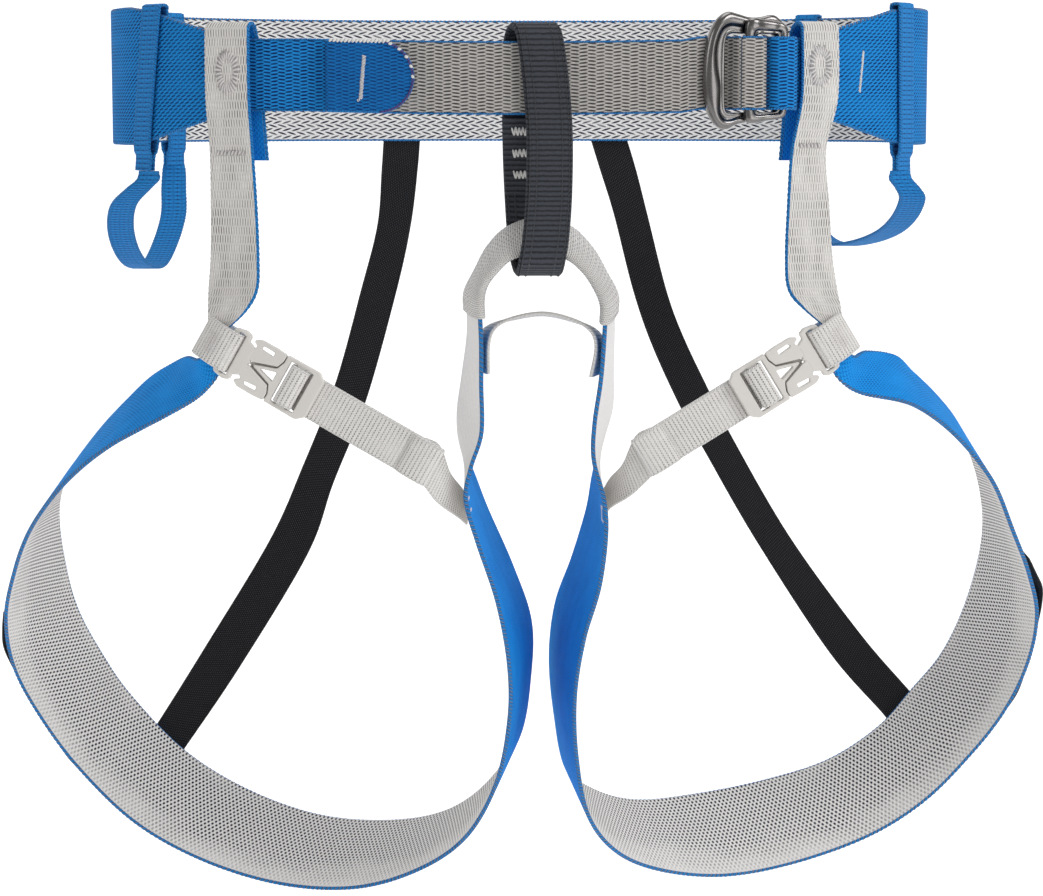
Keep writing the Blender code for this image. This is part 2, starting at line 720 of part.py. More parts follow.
def build_leg_strap(side, looks):
    frame = LEG_BUCKLES[side]
    look = looks["pale"]
    reach = 79.0 if side == "left" else 70.5
    thickness = LEG_STRAP_THICKNESS
    level = BUCKLE_BODY_HALF_THICKNESS + GAP + thickness / 2

    collar = [(-2.2, 2.6), (-6, 1.9), (-10, -0.8), (-12.8, -3.4), (-13.1, -6.4), (-11.5, -9.0)]
    collar += [(-6, -9.6), (-1, -8.6), (0.5, -6), (0.7, -2.5), (0.6, 0.6), (-0.2, 2.2)]
    rows = np.array(strap_rows(frame, collar))
    closed = smooth(np.vstack([rows, rows[:3]]), 2)[2:-4]
    ribbon(side + "_hip_collar", closed, thickness, look, closed=True, across=1)

    under = -level - thickness - GAP
    path = [(reach, under), (54, under), (34, under), (28, under), (24.4, -3.4), (22, -2.5)]
    path += [(21, -1.2), (20.9, 0.4), (21.2, 1.9), (22.8, 2.75), (25.6, 2.6), (27.1, 0.9)]
    ribbon(side + "_leg_strap", smooth(strap_rows(frame, path), 2), thickness, look)
    path = [(28.2, -2.25), (30, -level), (54, -level), (reach + 2.5, -level)]
    ribbon(side + "_leg_strap_tail", smooth(strap_rows(frame, path), 2), thickness, look)
    stop = -level + thickness + GAP
    path = [(reach - 8, stop), (reach - 3, stop + 0.1), (reach + 2, stop)]
    ribbon(side + "_strap_stop", smooth(strap_rows(frame, path), 2), thickness, look)


def build_strap_anchor(side, looks):
    """The strap's sewn end, behind the ribbon of the leg loop at the crotch."""
    frame = LEG_BUCKLES[side]
    reach = 79.0 if side == "left" else 70.5
    thickness = LEG_STRAP_THICKNESS
    level = BUCKLE_BODY_HALF_THICKNESS + 3 * GAP + 2.5 * thickness + 1.0
    rows = strap_rows(frame, [(reach - 6, -level), (reach, -level)])
    if side == "left":
        rows += [(-30, -80, -149.5, -24, -79.5, -138), (-23.6, -68, -154, -22.6, -66, -141.5)]
    else:
        rows += [(40.5, -80, -146, 36.5, -79.5, -134), (33, -68, -150.5, 33.5, -66, -138)]
    ribbon(side + "_strap_anchor", smooth(rows, 3), thickness, looks["pale"])


# ---------------------------------------------------------------- front


def build_front(looks):
    ribbon("leg_loop_bridge", smooth(BRIDGE_ROWS, 2), LEG_LOOP_THICKNESS, looks["grey"])
    sleeve("bridge_sleeve", smooth(SLEEVE_ROWS, 2), (1.6, 1.55), 0.9, looks["pale"])
    ribbon("bridge_cross_strap", smooth(CROSS_STRAP_ROWS, 3), 1.2, looks["pale"])

    path = [(5, -94.9, 16.4), (7, -98.9, 12.5), (9, -99.4, -2), (10.3, -100.5, -20)]
    path += [(10.1, -105, -40), (9, -111.2, -55), (7.6, -110.6, -64.5), (6.6, -100, -68.2)]
    path += [(5.4, -89, -67), (4.0, -84, -60), (3, -85.6, -46), (2.2, -89.6, -28)]
    path += [(2, -91.1, -10), (2.2, -91.1, 8), (3.2, -91.6, 14.5)]
    wide = np.array([BELAY_HALF_WIDTH, 0, 0])
    rows = np.array([np.concatenate([np.array(p) - wide, np.array(p) + wide]) for p in path])
    closed = smooth(np.vstack([rows[-1], rows, rows[:3]]), 3)[3:-6]
    ribbon("belay_loop", closed, BELAY_THICKNESS, looks["charcoal"], closed=True, across=2)

    path = [(2.0, -93.4, -14.8), (2.3, -92.2, -26), (3, -89.4, -41)]
    rows = [np.concatenate([np.array(p) - wide, np.array(p) + wide]) for p in path]
    ribbon("belay_loop_overlap", smooth(rows, 3), 1.4, looks["charcoal"])


# ---------------------------------------------------------------- gear loops


def build_gear_holder(name, along, slant, looks):
    """A band sewn round the belt, with a two-layer tab below it."""
    half = belt_half_height(abs(along) + GEAR_WEBBING_HALF_WIDTH)
    thick = GEAR_WEBBING_THICKNESS
    inner = -HOLDER_GAP - thick / 2
    outer = BELT_THICKNESS + HOLDER_GAP + thick / 2
    middle = (inner + outer) / 2
    pinch = (thick + GAP) / 2
    path = [(middle - pinch, GEAR_TAB_BOTTOM), (middle - pinch, -half - 4.5)]
    path += [(inner, -half), (inner, 0), (inner, half - 1.5), (inner + 0.4, half + 1.1)]
    path += [(middle, half + 1.6), (outer - 0.4, half + 1.1), (outer, half - 1.5), (outer, 0)]
    path += [(outer, -half), (middle + pinch, -half - 4.5), (middle + pinch, GEAR_TAB_BOTTOM)]
    rows = []
    for out, z in path:
        s = along + slant * z
        first, second = s - GEAR_WEBBING_HALF_WIDTH, s + GEAR_WEBBING_HALF_WIDTH
        rows.append((first, out, z, second, out, z))
    ribbon(name, smooth(waist_rows(rows), 2), thick, looks["blue"], across=1)


def build_gear_loop(name, centres, turn, axis_point, looks):
    """The hanging loop: its webbing lies across X, and turns to lie along the belt at its ends."""
    rows = []
    centres = np.asarray(centres, float)
    for i, centre in enumerate(centres):
        share = 2 * i / (len(centres) - 1) - 1
        angle = math.radians(turn * share * abs(share))
        wide = np.array([math.cos(angle), math.sin(angle), 0]) * GEAR_WEBBING_HALF_WIDTH
        rows.append(np.concatenate([centre - wide, centre + wide]))
    made = ribbon(name, smooth(rows, 3), GEAR_WEBBING_THICKNESS, looks["blue"])
    set_origin(made, axis_point)


def build_gear(looks):
    build_gear_holder("left_gear_holder_front", -139.5, 0.14, looks)
    build_gear_holder("left_gear_holder_rear", -258, 0, looks)
    build_gear_holder("right_gear_holder_front", 148.5, -0.03, looks)
    build_gear_holder("right_gear_holder_rear", 286, 0, looks)
    axis = (-133, 0, GEAR_AXIS_HEIGHT)
    build_gear_loop("left_gear_loop", LEFT_GEAR_ROWS, 40, axis, looks)
    axis = (125, 8, GEAR_AXIS_HEIGHT)
    build_gear_loop("right_gear_loop", RIGHT_GEAR_ROWS, -40, axis, looks)


def main():
    clear_scene()
    looks = {
        "blue": material("blue_webbing", (0.03, 0.22, 0.62), 0.75),
        "grey": material("grey_webbing", (0.56, 0.54, 0.52), 0.85),
        "pale": material("pale_webbing", (0.66, 0.64, 0.61), 0.85),
        "charcoal": material("charcoal_webbing", (0.035, 0.038, 0.045), 0.8),
        "black": material("black_elastic", (0.012, 0.012, 0.013), 0.9),
        "gunmetal": material("gunmetal", (0.05, 0.05, 0.055), 0.35, 1.0),
        "plastic": material("grey_plastic", (0.62, 0.6, 0.57), 0.5),
    }
    build_waist(looks)
    build_front(looks)
    build_gear(looks)
    for side in ("left", "right"):
        build_riser(side, looks)
        build_leg_loop(side, looks)
        build_ice_tool_band(side, looks)
        build_elastic(side, looks)
        build_leg_buckle(side, looks)
        build_leg_strap(side, looks)
        build_strap_anchor(side, looks)


main()
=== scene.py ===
import math

import bpy
import numpy as np
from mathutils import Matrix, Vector


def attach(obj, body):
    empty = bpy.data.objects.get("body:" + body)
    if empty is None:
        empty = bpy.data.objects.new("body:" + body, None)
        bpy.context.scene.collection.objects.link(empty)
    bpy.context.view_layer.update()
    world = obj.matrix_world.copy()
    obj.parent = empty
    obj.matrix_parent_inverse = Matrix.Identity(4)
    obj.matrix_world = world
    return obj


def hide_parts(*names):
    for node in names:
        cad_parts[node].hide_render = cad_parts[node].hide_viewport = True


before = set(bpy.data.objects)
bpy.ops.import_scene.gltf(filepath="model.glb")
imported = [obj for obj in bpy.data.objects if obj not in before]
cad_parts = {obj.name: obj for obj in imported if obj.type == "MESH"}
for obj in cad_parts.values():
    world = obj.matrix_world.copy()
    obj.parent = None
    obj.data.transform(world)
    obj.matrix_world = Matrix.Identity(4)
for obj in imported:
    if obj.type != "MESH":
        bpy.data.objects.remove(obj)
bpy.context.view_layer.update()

# The looks of a climbing harness. Lengths below are millimetres, and MM turns them to metres.
# The frame is the CAD's: the wearer faces -Y, +X is the wearer's left hand side, +Z is up.
MM = 0.001
GAP = 0.3
RANDOM = np.random.default_rng(7)

# ---- dimensions shared with the CAD

WAIST_HALF_WIDTH = 150.0
WAIST_HALF_DEPTH = 95.0
WAIST_SQUARENESS = 2.45
BELT_THICKNESS = 1.6
BELT_TAPER_AT = (100.0, 107.0, 112.0, 127.0, 140.0, 152.0)
BELT_TAPER_HALF_HEIGHT = (12.5, 14.2, 15.9, 20.0, 23.2, 24.5)
BELT_LEFT_END = -102.0
BELT_RIGHT_END = 106.0
STRAP_HALF_HEIGHT = 12.5
FRONT_SAG = 1.2
FRONT_SAG_REACH = 75.0
BUCKLE_AT = 78.0
BUCKLE_HEIGHT_OFFSET = 0.5
RISER_THICKNESS = 1.4
LEG_LOOP_THICKNESS = 1.6
LEG_STRAP_THICKNESS = 1.1
LEG_STRAP_HALF_WIDTH = 7.4
GEAR_WEBBING_THICKNESS = 1.1
GEAR_WEBBING_HALF_WIDTH = 5.0
HOLDER_GAP = 0.5
BELAY_THICKNESS = 2.4
BELAY_HALF_WIDTH = 8.0
ELASTIC_THICKNESS = 1.2
BUCKLE_BODY_HALF_THICKNESS = 1.5

# ---- dimensions of the looks alone

# The middle line of the webbing that runs just inside the belt, out from the waist curve.
INSIDE = -GAP - BELT_THICKNESS / 2
# Where the middle of a webbing lies across in its pattern's coordinates.
PATTERN_MIDDLE = 25.0
# How much further on a webbing's gaps have gone, where woven's span ends them.
FADING_LENGTH = 60.0
# How far a selvedge's strands run on along it, for each millimetre across.
TWIST = 0.55
FINE_THREAD = 0.22
# Points on each rounded corner of a moulded plate.
ARC_POINTS = 7
# How far each leg strap reaches along its buckle's frame.
STRAP_REACH = {"left": 79.0, "right": 70.5}
PALE_FACES = ("pale_strap", "pale_strap", "edge_grey")
# The materials, which build_materials makes.
LOOKS = {}

# Stations of the leg loops, from the hip collar round the thigh to the sleeve: the edge that is
# nearer the knee, then the edge that is nearer the waist.
LEFT_LEG_ROWS = (
    (-104, -79, -102.5, -109.5, -79, -94.5),
    (-109, -76.5, -109, -113.3, -75.5, -99),
    (-116, -70, -115, -118.5, -61, -99.5),
    (-128, -60, -122, -125, -43, -103),
    (-139, -52, -128, -136, -28, -110),
    (-151, -43, -135, -147, -13, -120),
    (-164, -32, -145, -159, 3, -132),
    (-176, -20, -157, -171, 19, -146),
    (-187, -8, -172, -180, 33, -158),
    (-195, 4, -189, -184, 44, -172),
    (-201, 16, -209, -184, 55, -191),
    (-201, 30, -231, -181, 66, -213),
    (-193, 40, -253, -173, 76, -234),
    (-179, 49, -277, -162, 84, -254),
    (-157, 54, -301, -141, 91, -279),
    (-129, 54, -317, -115, 92, -296),
    (-97, 48, -325, -85, 88, -306),
    (-66, 36, -323, -55, 78, -306),
    (-40, 20, -311, -30, 63, -298),
    (-21, 2, -293, -12, 45, -281),
    (-9, -17, -267, 0, 26, -257),
    (-4, -34, -239, 4, 9, -229),
    (-4, -48, -215, 4, -7, -205),
    (-8, -63, -189, -3, -25, -181),
    (-15, -75, -165, -12, -39, -158),
    (-19, -82, -149, -17, -50, -143),
    (-17, -87, -137, -21, -57, -132),
    (-13, -91, -124, -22, -64, -120),
    (-13, -95, -107, -20, -70, -105),
    (-13, -98, -92, -18, -76, -90),
    (-13.5, -101, -79, -18, -81, -77),
)
RIGHT_LEG_ROWS = (
    (108.5, -79, -101.5, 114, -79, -93.5),
    (114, -76.5, -108, 118, -75.5, -98),
    (122, -71, -112.5, 124, -61, -97.5),
    (137, -62, -116, 137, -41, -101),
    (146, -55, -120, 145, -28, -108),
    (157, -46, -128, 155, -14, -117),
    (168, -36, -139, 165, -1, -128),
    (178, -25, -152, 174, 14, -142),
    (187, -12, -170, 181, 30, -158),
    (196, 1, -189, 185, 43, -175),
    (202, 14, -208, 185, 55, -193),
    (201, 27, -230, 181, 66, -215),
    (194, 39, -252, 174, 76, -235),
    (182, 48, -272, 163, 82, -251),
    (165, 54, -292, 150, 87, -268),
    (143, 56, -307, 129, 90, -283),
    (113, 52, -317, 102, 87, -291),
    (84, 43, -320, 74, 80, -295),
    (58, 32, -315, 49, 73, -296),
    (39, 19, -304, 31, 61, -289),
    (27, 3, -285, 19, 47, -276),
    (22, -13, -258, 14, 30, -249),
    (21, -29, -231, 12, 14, -223),
    (24, -45, -206, 14, -5, -199),
    (29, -62, -184, 20, -24, -178),
    (31, -75, -163, 25, -39, -158),
    (30, -82, -149, 27, -49, -144),
    (26, -87, -134, 30, -56, -130),
    (26, -91, -121, 33, -64, -117),
    (28, -95, -106, 33, -70, -103),
    (29, -98, -93, 33, -76, -90),
    (29.5, -101, -81, 33, -81, -78),
)
LEFT_RISER_ROWS = (
    (-108, -78, -26, -92, -85.5, -26),
    (-108, -77, -45, -91, -85, -45),
    (-108.5, -75, -63, -90.5, -85, -63),
    (-109.5, -74, -75, -91, -85.5, -74),
    (-109.3, -78.5, -84, -95.0, -85, -81.5),
    (-108.6, -78.5, -93, -101.5, -83, -87.5),
    (-103.5, -78.5, -100.5, -107.5, -79.5, -91),
)
RIGHT_RISER_ROWS = (
    (107, -78, -26, 94, -85.5, -26),
    (108.5, -77, -45, 93, -85, -45),
    (110, -75, -63, 92.5, -85, -63),
    (112, -74, -75, 93.5, -85.5, -74),
    (113.2, -78.5, -83, 98.6, -85, -80.5),
    (112.6, -78.5, -92, 106, -83, -86.5),
    (108, -78.5, -99.5, 112, -79.5, -90),
)
BRIDGE_ROWS = (
    (-13.5, -102.2, -75, -16.8, -83.4, -73),
    (-12.4, -103.5, -71.3, -13.9, -85, -67.3),
    (-8.4, -105.5, -65.8, -9.9, -87, -59.8),
    (-3.0, -106.5, -61.0, -3.5, -89.5, -53.6),
    (7, -107, -58.5, 7, -90, -50.5),
    (16.6, -106.5, -60.9, 17.1, -89.5, -53.4),
    (22.8, -105.5, -66.0, 24.3, -87, -60.5),
    (27.0, -103.5, -72.2, 29, -85, -68.7),
    (29, -102.2, -76.2, 32, -83.4, -73.6),
)
SLEEVE_ROWS = (
    (-13.3, -100.3, -83, -18.1, -79.3, -81),
    (-13.6, -101.8, -77, -17.8, -82, -75),
) + BRIDGE_ROWS[1:-1] + (
    (29.4, -101.6, -78.5, 32.9, -82, -76),
    (29.3, -100.2, -85, 33, -79.3, -82),
)
CROSS_STRAP_ROWS = (
    (-10.6, -94, -103, -16, -72, -103),
    (-10.4, -96, -92, -15, -76, -93),
    (-8, -97, -86.2, -11, -78, -87.6),
    (-1.5, -97, -83, -2, -78, -84.9),
    (8.5, -97, -81.5, 8.5, -78, -83.5),
    (18.5, -97, -83.8, 19, -78, -85.7),
    (24.5, -97, -87.5, 27, -78, -89.0),
    (26.4, -96, -93.5, 30, -76, -94.5),
    (24.6, -94, -104, 30.2, -72, -104),
)
LEFT_GEAR_ROWS = (
    (-132.1, -57.5, -33.52),
    (-132.5, -57.3, -36.6),
    (-136.5, -54, -40),
    (-143, -46, -46),
    (-146, -34, -54.5),
    (-146, -20, -63.5),
    (-144, -4, -70),
    (-140.5, 12, -71),
    (-138, 28, -64),
    (-136, 41, -53),
    (-136.5, 47.5, -43),
    (-136.7, 50.9, -36.6),
    (-136.7, 51, -33.52),
)
RIGHT_GEAR_ROWS = (
    (136.7, -50.9, -33.52),
    (136.9, -51, -36.6),
    (139.8, -49.5, -40),
    (142, -45, -44),
    (141, -32, -51),
    (137.5, -16, -57),
    (131, 4, -61.5),
    (123, 24, -63.5),
    (117.5, 42, -60.5),
    (115, 59, -50),
    (115.5, 70.7, -36.6),
    (115.6, 70.9, -33.52),
)
LEFT_ELASTIC_ROWS = (
    (-57, 98.5, -36, -42, 98.5, -36),
    (-59, 100, -59, -45, 100, -59),
    (-66, 101, -86, -51, 101, -86),
    (-77, 101, -125, -64, 101, -132),
    (-91, 101, -160, -78, 101, -167),
    (-105, 100, -191, -89, 100, -197),
    (-133, 98, -237, -118, 98, -245),
    (-152.5, 95.2, -268, -141.5, 95.5, -279.5),
    (-157, 86, -274, -146, 85.5, -285.5),
)
RIGHT_ELASTIC_ROWS = (
    (33, 98.5, -36, 48, 98.5, -36),
    (39, 100, -55, 53, 100, -55),
    (47, 101, -86, 61, 101, -86),
    (55, 101, -109, 68, 101, -105),
    (67, 101, -135, 79, 101, -128),
    (77, 101, -153, 88, 101, -146),
    (99, 100, -191, 113, 100, -189),
    (130, 95, -238, 143, 94, -230),
    (153, 89.5, -264, 164, 86, -254),
    (159, 79, -272.5, 171, 76, -263),
)


# ---- curves and frames


def unit(vector):
    return vector / np.linalg.norm(vector)


def smooth(rows, steps):
    """Points of a Catmull-Rom curve through the rows, with this many steps between two rows."""
    rows = np.asarray(rows, float)
    before = np.vstack([2 * rows[0] - rows[1], rows[:-2]])
    after = np.vstack([rows[2:], 2 * rows[-1] - rows[-2]])
    made = []
    for p0, p1, p2, p3 in zip(before, rows[:-1], rows[1:], after):
        for t in np.arange(steps) / steps:
            made.append(
                p1
                + 0.5 * t * (p2 - p0)
                + t * t * (p0 - 2.5 * p1 + 2 * p2 - 0.5 * p3)
                + 0.5 * t**3 * (p3 - 3 * p2 + 3 * p1 - p0)
            )
    made.append(rows[-1])
    return np.array(made)


def closed_smooth(rows, steps):
    """Points of a closed Catmull-Rom curve through the rows, the first point again at the end."""
    rows = np.asarray(rows, float)
    return smooth(np.vstack([rows[-1], rows, rows[:2]]), steps)[steps:-steps]


def distances(points):
    """How far along a line each of its points lies."""
    return np.concatenate([[0.0], np.cumsum(np.linalg.norm(np.diff(points, axis=0), axis=1))])


def waist_outline(angle):
    """A point of the waist curve and its outward normal. Angle 0 is the front centre."""
    x, y = math.sin(angle), -math.cos(angle)
    n = WAIST_SQUARENESS
    reach = (abs(x / WAIST_HALF_WIDTH) ** n + abs(y / WAIST_HALF_DEPTH) ** n) ** (-1 / n)
    point = np.array([x, y]) * reach
    size = np.array([WAIST_HALF_WIDTH, WAIST_HALF_DEPTH])
    normal = np.sign(point) * np.abs(point / size) ** (n - 1) / size
    return point, unit(normal)


def waist_lengths():
    """Angles round the waist, and the distance from the front centre at each."""
    angles = np.linspace(-math.pi, math.pi, 2001)
    lengths = distances(np.array([waist_outline(a)[0] for a in angles]))
    return angles, lengths - lengths[-1] / 2


WAIST_ANGLES, WAIST_LENGTHS = waist_lengths()
WAIST_HALF_GIRTH = WAIST_LENGTHS[-1]


def waist_point(along, out, height):
    """The point at a distance round the waist, an offset outwards and a height."""
    girth = 2 * WAIST_HALF_GIRTH
    wrapped = (along + WAIST_HALF_GIRTH) % girth - WAIST_HALF_GIRTH
    point, normal = waist_outline(np.interp(wrapped, WAIST_LENGTHS, WAIST_ANGLES))
    x, y = point + normal * out
    return np.array([x, y, height])


def belt_half_height(along):
    return float(np.interp(abs(along), BELT_TAPER_AT, BELT_TAPER_HALF_HEIGHT))


def front_sag(along):
    """How far the front webbing hangs below the belt's mid-height."""
    return -FRONT_SAG * max(0.0, 1 - (along / FRONT_SAG_REACH) ** 2)


def upright(along, out, middle, half):
    """A row that stands across the belt, between two heights at one distance round the waist."""
    return along, out, middle - half, along, out, middle + half


class Frame:
    """A local frame: its point(a, b, c) is origin + a first + b second + c third."""

    def __init__(self, origin, first, second, third):
        self.origin = np.asarray(origin, float)
        self.axes = np.array([first, second, third], float)

    def point(self, a, b, c):
        return self.origin + np.array([a, b, c]) @ self.axes

    def facing(self, faces):
        """Faces that look outwards from the frame, turned round where it is left-handed."""
        return [f[::-1] for f in faces] if np.linalg.det(self.axes) < 0 else faces

    def rows(self, path, half):
        """Rows of webbing along a path of (a, c), with its edges at this b to each side."""
        return [np.concatenate([self.point(a, -half, c), self.point(a, half, c)]) for a, c in path]


def waist_buckle_frame():
    origin = waist_point(BUCKLE_AT, 0, BUCKLE_HEIGHT_OFFSET)
    along = unit(waist_point(BUCKLE_AT + 1, 0, 0) - waist_point(BUCKLE_AT - 1, 0, 0))
    out = np.array([along[1], -along[0], 0.0])
    return Frame(origin, along, (0, 0, 1), out)


def leg_buckle_frame(bar, strap_end):
    """Along the strap towards the crotch, across it upwards, and out to the front."""
    bar = np.asarray(bar, float)
    along = unit(np.asarray(strap_end, float) - bar)
    across = unit(np.cross(along, (0, -1, 0)))
    across = across if across[2] > 0 else -across
    out = np.cross(along, across)
    out = out if out[1] < 0 else -out
    return Frame(bar, along, across, out)


WAIST_BUCKLE = waist_buckle_frame()
LEG_BUCKLES = {
    "left": leg_buckle_frame((-100.3, -84, -96.4), (-31.2, -91, -135.5)),
    "right": leg_buckle_frame((105.0, -84, -95.2), (42.1, -91, -133.4)),
}


# ---- materials


class Number:
    """A number in a node tree, so that a pattern is written as a formula."""

    def __init__(self, tree, socket):
        self.tree = tree
        self.socket = socket

    def apply(self, kind, *others):
        node = self.tree.nodes.new("ShaderNodeMath")
        node.operation = kind
        for slot, value in zip(node.inputs, (self, *others)):
            if isinstance(value, Number):
                self.tree.links.new(value.socket, slot)
            else:
                slot.default_value = value
        return Number(self.tree, node.outputs[0])

    def __add__(self, other):
        return self.apply("ADD", other)

    def __sub__(self, other):
        return self.apply("SUBTRACT", other)

    def __mul__(self, other):
        return self.apply("MULTIPLY", other)

    def __truediv__(self, other):
        return self.apply("DIVIDE", other)

    def floor(self):
        return self.apply("FLOOR")

    def fraction(self):
        return self.apply("FRACT")

    def size(self):
        return self.apply("ABSOLUTE")

    def wave(self):
        """From 0 to 1 and back, once for each whole number."""
        return (self * (2 * math.pi)).apply("COSINE") * -0.5 + 0.5

    def within(self, edge, soft):
        """1 where the number is under edge, 0 where it is over edge + soft."""
        node = self.tree.nodes.new("ShaderNodeMapRange")
        node.interpolation_type = "SMOOTHSTEP"
        self.tree.links.new(self.socket, node.inputs["Value"])
        for key, value in (("From Min", edge), ("From Max", edge + soft), ("To Min", 1.0), ("To Max", 0.0)):
            node.inputs[key].default_value = value
        return Number(self.tree, node.outputs["Result"])


class Look:
    """A material whose pattern is drawn in a webbing's own coordinates, in millimetres."""

    def __init__(self, name, roughness=0.8, metallic=0.0, sheen=0.0, coordinates="UV", specular=0.5):
        self.material = bpy.data.materials.new(name)
        self.material.use_nodes = True
        self.tree = self.material.node_tree
        self.shader = self.tree.nodes["Principled BSDF"]
        settings = {"Roughness": roughness, "Metallic": metallic, "Specular IOR Level": specular,
                    "Sheen Weight": sheen, "Sheen Roughness": 0.4}
        for key, value in settings.items():
            self.shader.inputs[key].default_value = value
        place = self.tree.nodes.new("ShaderNodeTexCoord").outputs[coordinates]
        split = self.tree.nodes.new("ShaderNodeSeparateXYZ")
        self.tree.links.new(place, split.inputs[0])
        self.place = place
        self.u = Number(self.tree, split.outputs["X"]) * 1000
        self.v = Number(self.tree, split.outputs["Y"]) * 1000

    def noise(self, scale, detail=2.0, stretch=None):
        """Noise from 0 to 1, with its scale in blobs per metre, stretched along u if asked."""
        node = self.tree.nodes.new("ShaderNodeTexNoise")
        node.inputs["Scale"].default_value = scale
        node.inputs["Detail"].default_value = detail
        source = self.place
        if stretch:
            scaled = self.tree.nodes.new("ShaderNodeVectorMath")
            scaled.operation = "MULTIPLY"
            scaled.inputs[1].default_value = stretch
            self.tree.links.new(self.place, scaled.inputs[0])
            source = scaled.outputs[0]
        self.tree.links.new(source, node.inputs["Vector"])
        return Number(self.tree, node.outputs["Fac"])

    def mix(self, share, low, high):
        """A colour between two, each a colour or another mix's socket."""
        node = self.tree.nodes.new("ShaderNodeMix")
        node.data_type = "RGBA"
        self.tree.links.new(share.socket, node.inputs["Factor"])
        for slot, colour in ((node.inputs[6], low), (node.inputs[7], high)):
            if isinstance(colour, bpy.types.NodeSocket):
                self.tree.links.new(colour, slot)
            else:
                slot.default_value = (*colour, 1.0)
        return node.outputs[2]

    def colour(self, socket):
        self.tree.links.new(socket, self.shader.inputs["Base Color"])

    def roughness(self, number):
        self.tree.links.new(number.socket, self.shader.inputs["Roughness"])

    def bump(self, height, depth):
        """Bump from a height of 0 to 1, with this depth in millimetres."""
        node = self.tree.nodes.new("ShaderNodeBump")
        node.inputs["Distance"].default_value = depth * MM
        node.inputs["Strength"].default_value = 1.0
        self.tree.links.new(height.socket, node.inputs["Height"])
        self.tree.links.new(node.outputs["Normal"], self.shader.inputs["Normal"])


def dashes(look, cell, stagger, half, slant=0.0, tilt=0.0, mirror=False, across=False):
    """1 in short lens-shaped dashes on a staggered lattice and 0 between them. cell is a dash's room
    along and across, and half its half-size as a share of that. slant leans a dash that is long
    across, tilt one that is long along, and mirror turns every other row's lean round."""
    u, v = (look.v, look.u) if across else (look.u, look.v)
    row = (v / cell[1]).floor()
    rise = (v / cell[1]).fraction() - 0.5
    turn = (row * 0.5).fraction() * -4.0 + 1.0 if mirror else None
    lean = rise * slant
    if mirror:
        lean = lean * turn
    run = (u / cell[0] + row * stagger + lean).fraction() - 0.5
    if tilt:
        climbing = run * tilt
        rise = rise - (climbing * turn if mirror else climbing)
    reach = run / half[0]
    climb = rise / half[1]
    return (reach * reach + climb * climb).within(0.45, 0.75)


def clamp(number):
    return number.apply("MAXIMUM", 0.0).apply("MINIMUM", 1.0)


def woven(name, yarn, gap, cell, stagger, half, slant=0.0, tilt=0.0, mirror=False, across=False,
          depth=0.12, roughness=0.8, sheen=0.1, fade=None, dense=None, span=None, blotch_and_shade=0.12,
          specular=0.3):
    """Webbing with a lattice of gaps between its floats. fade is the scale, swing and level of a
    noise that thins the gaps, dense the place across, reach and level of the strip where they are
    full, and span how far along the webbing they go before they thin out."""
    look = Look(name, roughness=roughness, sheen=sheen, specular=specular)
    drift = look.noise(700.0, 1.0) - 0.5
    gaps = dashes(look, cell, stagger, half, slant, tilt, mirror, across)
    if fade:
        patches = look.noise(fade[0], 1.0, stretch=(1.0, 2.5, 1.0)) - 0.5
        level = patches * fade[1] + fade[2]
        if dense:
            level = level + ((look.v - dense[0]).size() * (-1.0 / dense[1]) + dense[2])
        if span:
            level = level - clamp((look.u - span) / FADING_LENGTH) * 3.0
        gaps = gaps * clamp(level)
    fleck = look.noise(1900.0, 1.0) - 0.5
    # darker and lighter bound the yarn's colour. fleck and drift move it at random, and swell paints each row
    # of floats lighter in its middle and darker at its edges: a painted highlight and painted shade of a
    # rounded yarn.
    darker = tuple(c * (1 - blotch_and_shade) for c in yarn)
    lighter = tuple(min(1.0, c * (1 + blotch_and_shade)) for c in yarn)
    v = look.u if across else look.v
    swell = (v / cell[1] + drift * 0.1).wave()
    base = look.mix(clamp(fleck * 1.4 + drift * 0.6 + swell * 0.5 + 0.2), darker, lighter)
    look.colour(look.mix(gaps, base, gap))
    look.bump(gaps * -1.0 + swell * 0.5 + fleck * 0.25 + 1.0, depth)
    return look.material


def ribbed(name, light, dark, pitch, depth, dash=None, soft=0.35, trough_shade_share=0.75):
    """Webbing with ribs across its length, and optional dark dashes between them."""
    look = Look(name, roughness=0.85, sheen=0.05, specular=0.3)
    wobble = look.noise(500.0, 1.0) - 0.5
    rib = (look.u / pitch + wobble * 0.25).wave()
    fleck = look.noise(1500.0, 2.0) - 0.5
    # The troughs between the ribs are painted darker: painted shade, with fleck adding random tone.
    shade = rib.within(0.0, soft) * trough_shade_share + fleck * 0.6 + 0.1
    height = rib
    if dash:
        marks = dashes(look, dash[0], 0.5, dash[1])
        shade = shade + marks * dash[2]
        height = height - marks * 0.6
    look.colour(look.mix(clamp(shade), light, dark))
    look.bump(height + fleck * 0.2, depth)
    return look.material


def selvedge(name, first, second, gap, pitch, depth, share=0.6):
    """The twisted edge of a webbing: strands of two colours with dark lines between them."""
    look = Look(name, roughness=0.75, sheen=0.05, specular=0.3)
    phase = (look.u / pitch + look.v * TWIST / pitch).fraction()
    strand = phase.apply("GREATER_THAN", share)
    line = (phase / share).fraction() - 0.5
    notch = (line.size() * -1.0 + 0.5).within(0.05, 0.14)
    colour = look.mix(strand, first, second)
    look.colour(look.mix(notch, colour, gap))
    look.bump((phase * 2.0).wave(), depth)
    return look.material


def thread(name, colour, dark):
    """Sewing thread: fine twisted ply."""
    look = Look(name, roughness=0.6, sheen=0.2, coordinates="Object")
    fleck = look.noise(2500.0, 2.0)
    look.colour(look.mix(fleck, dark, colour))
    look.bump(fleck, 0.05)
    return look.material


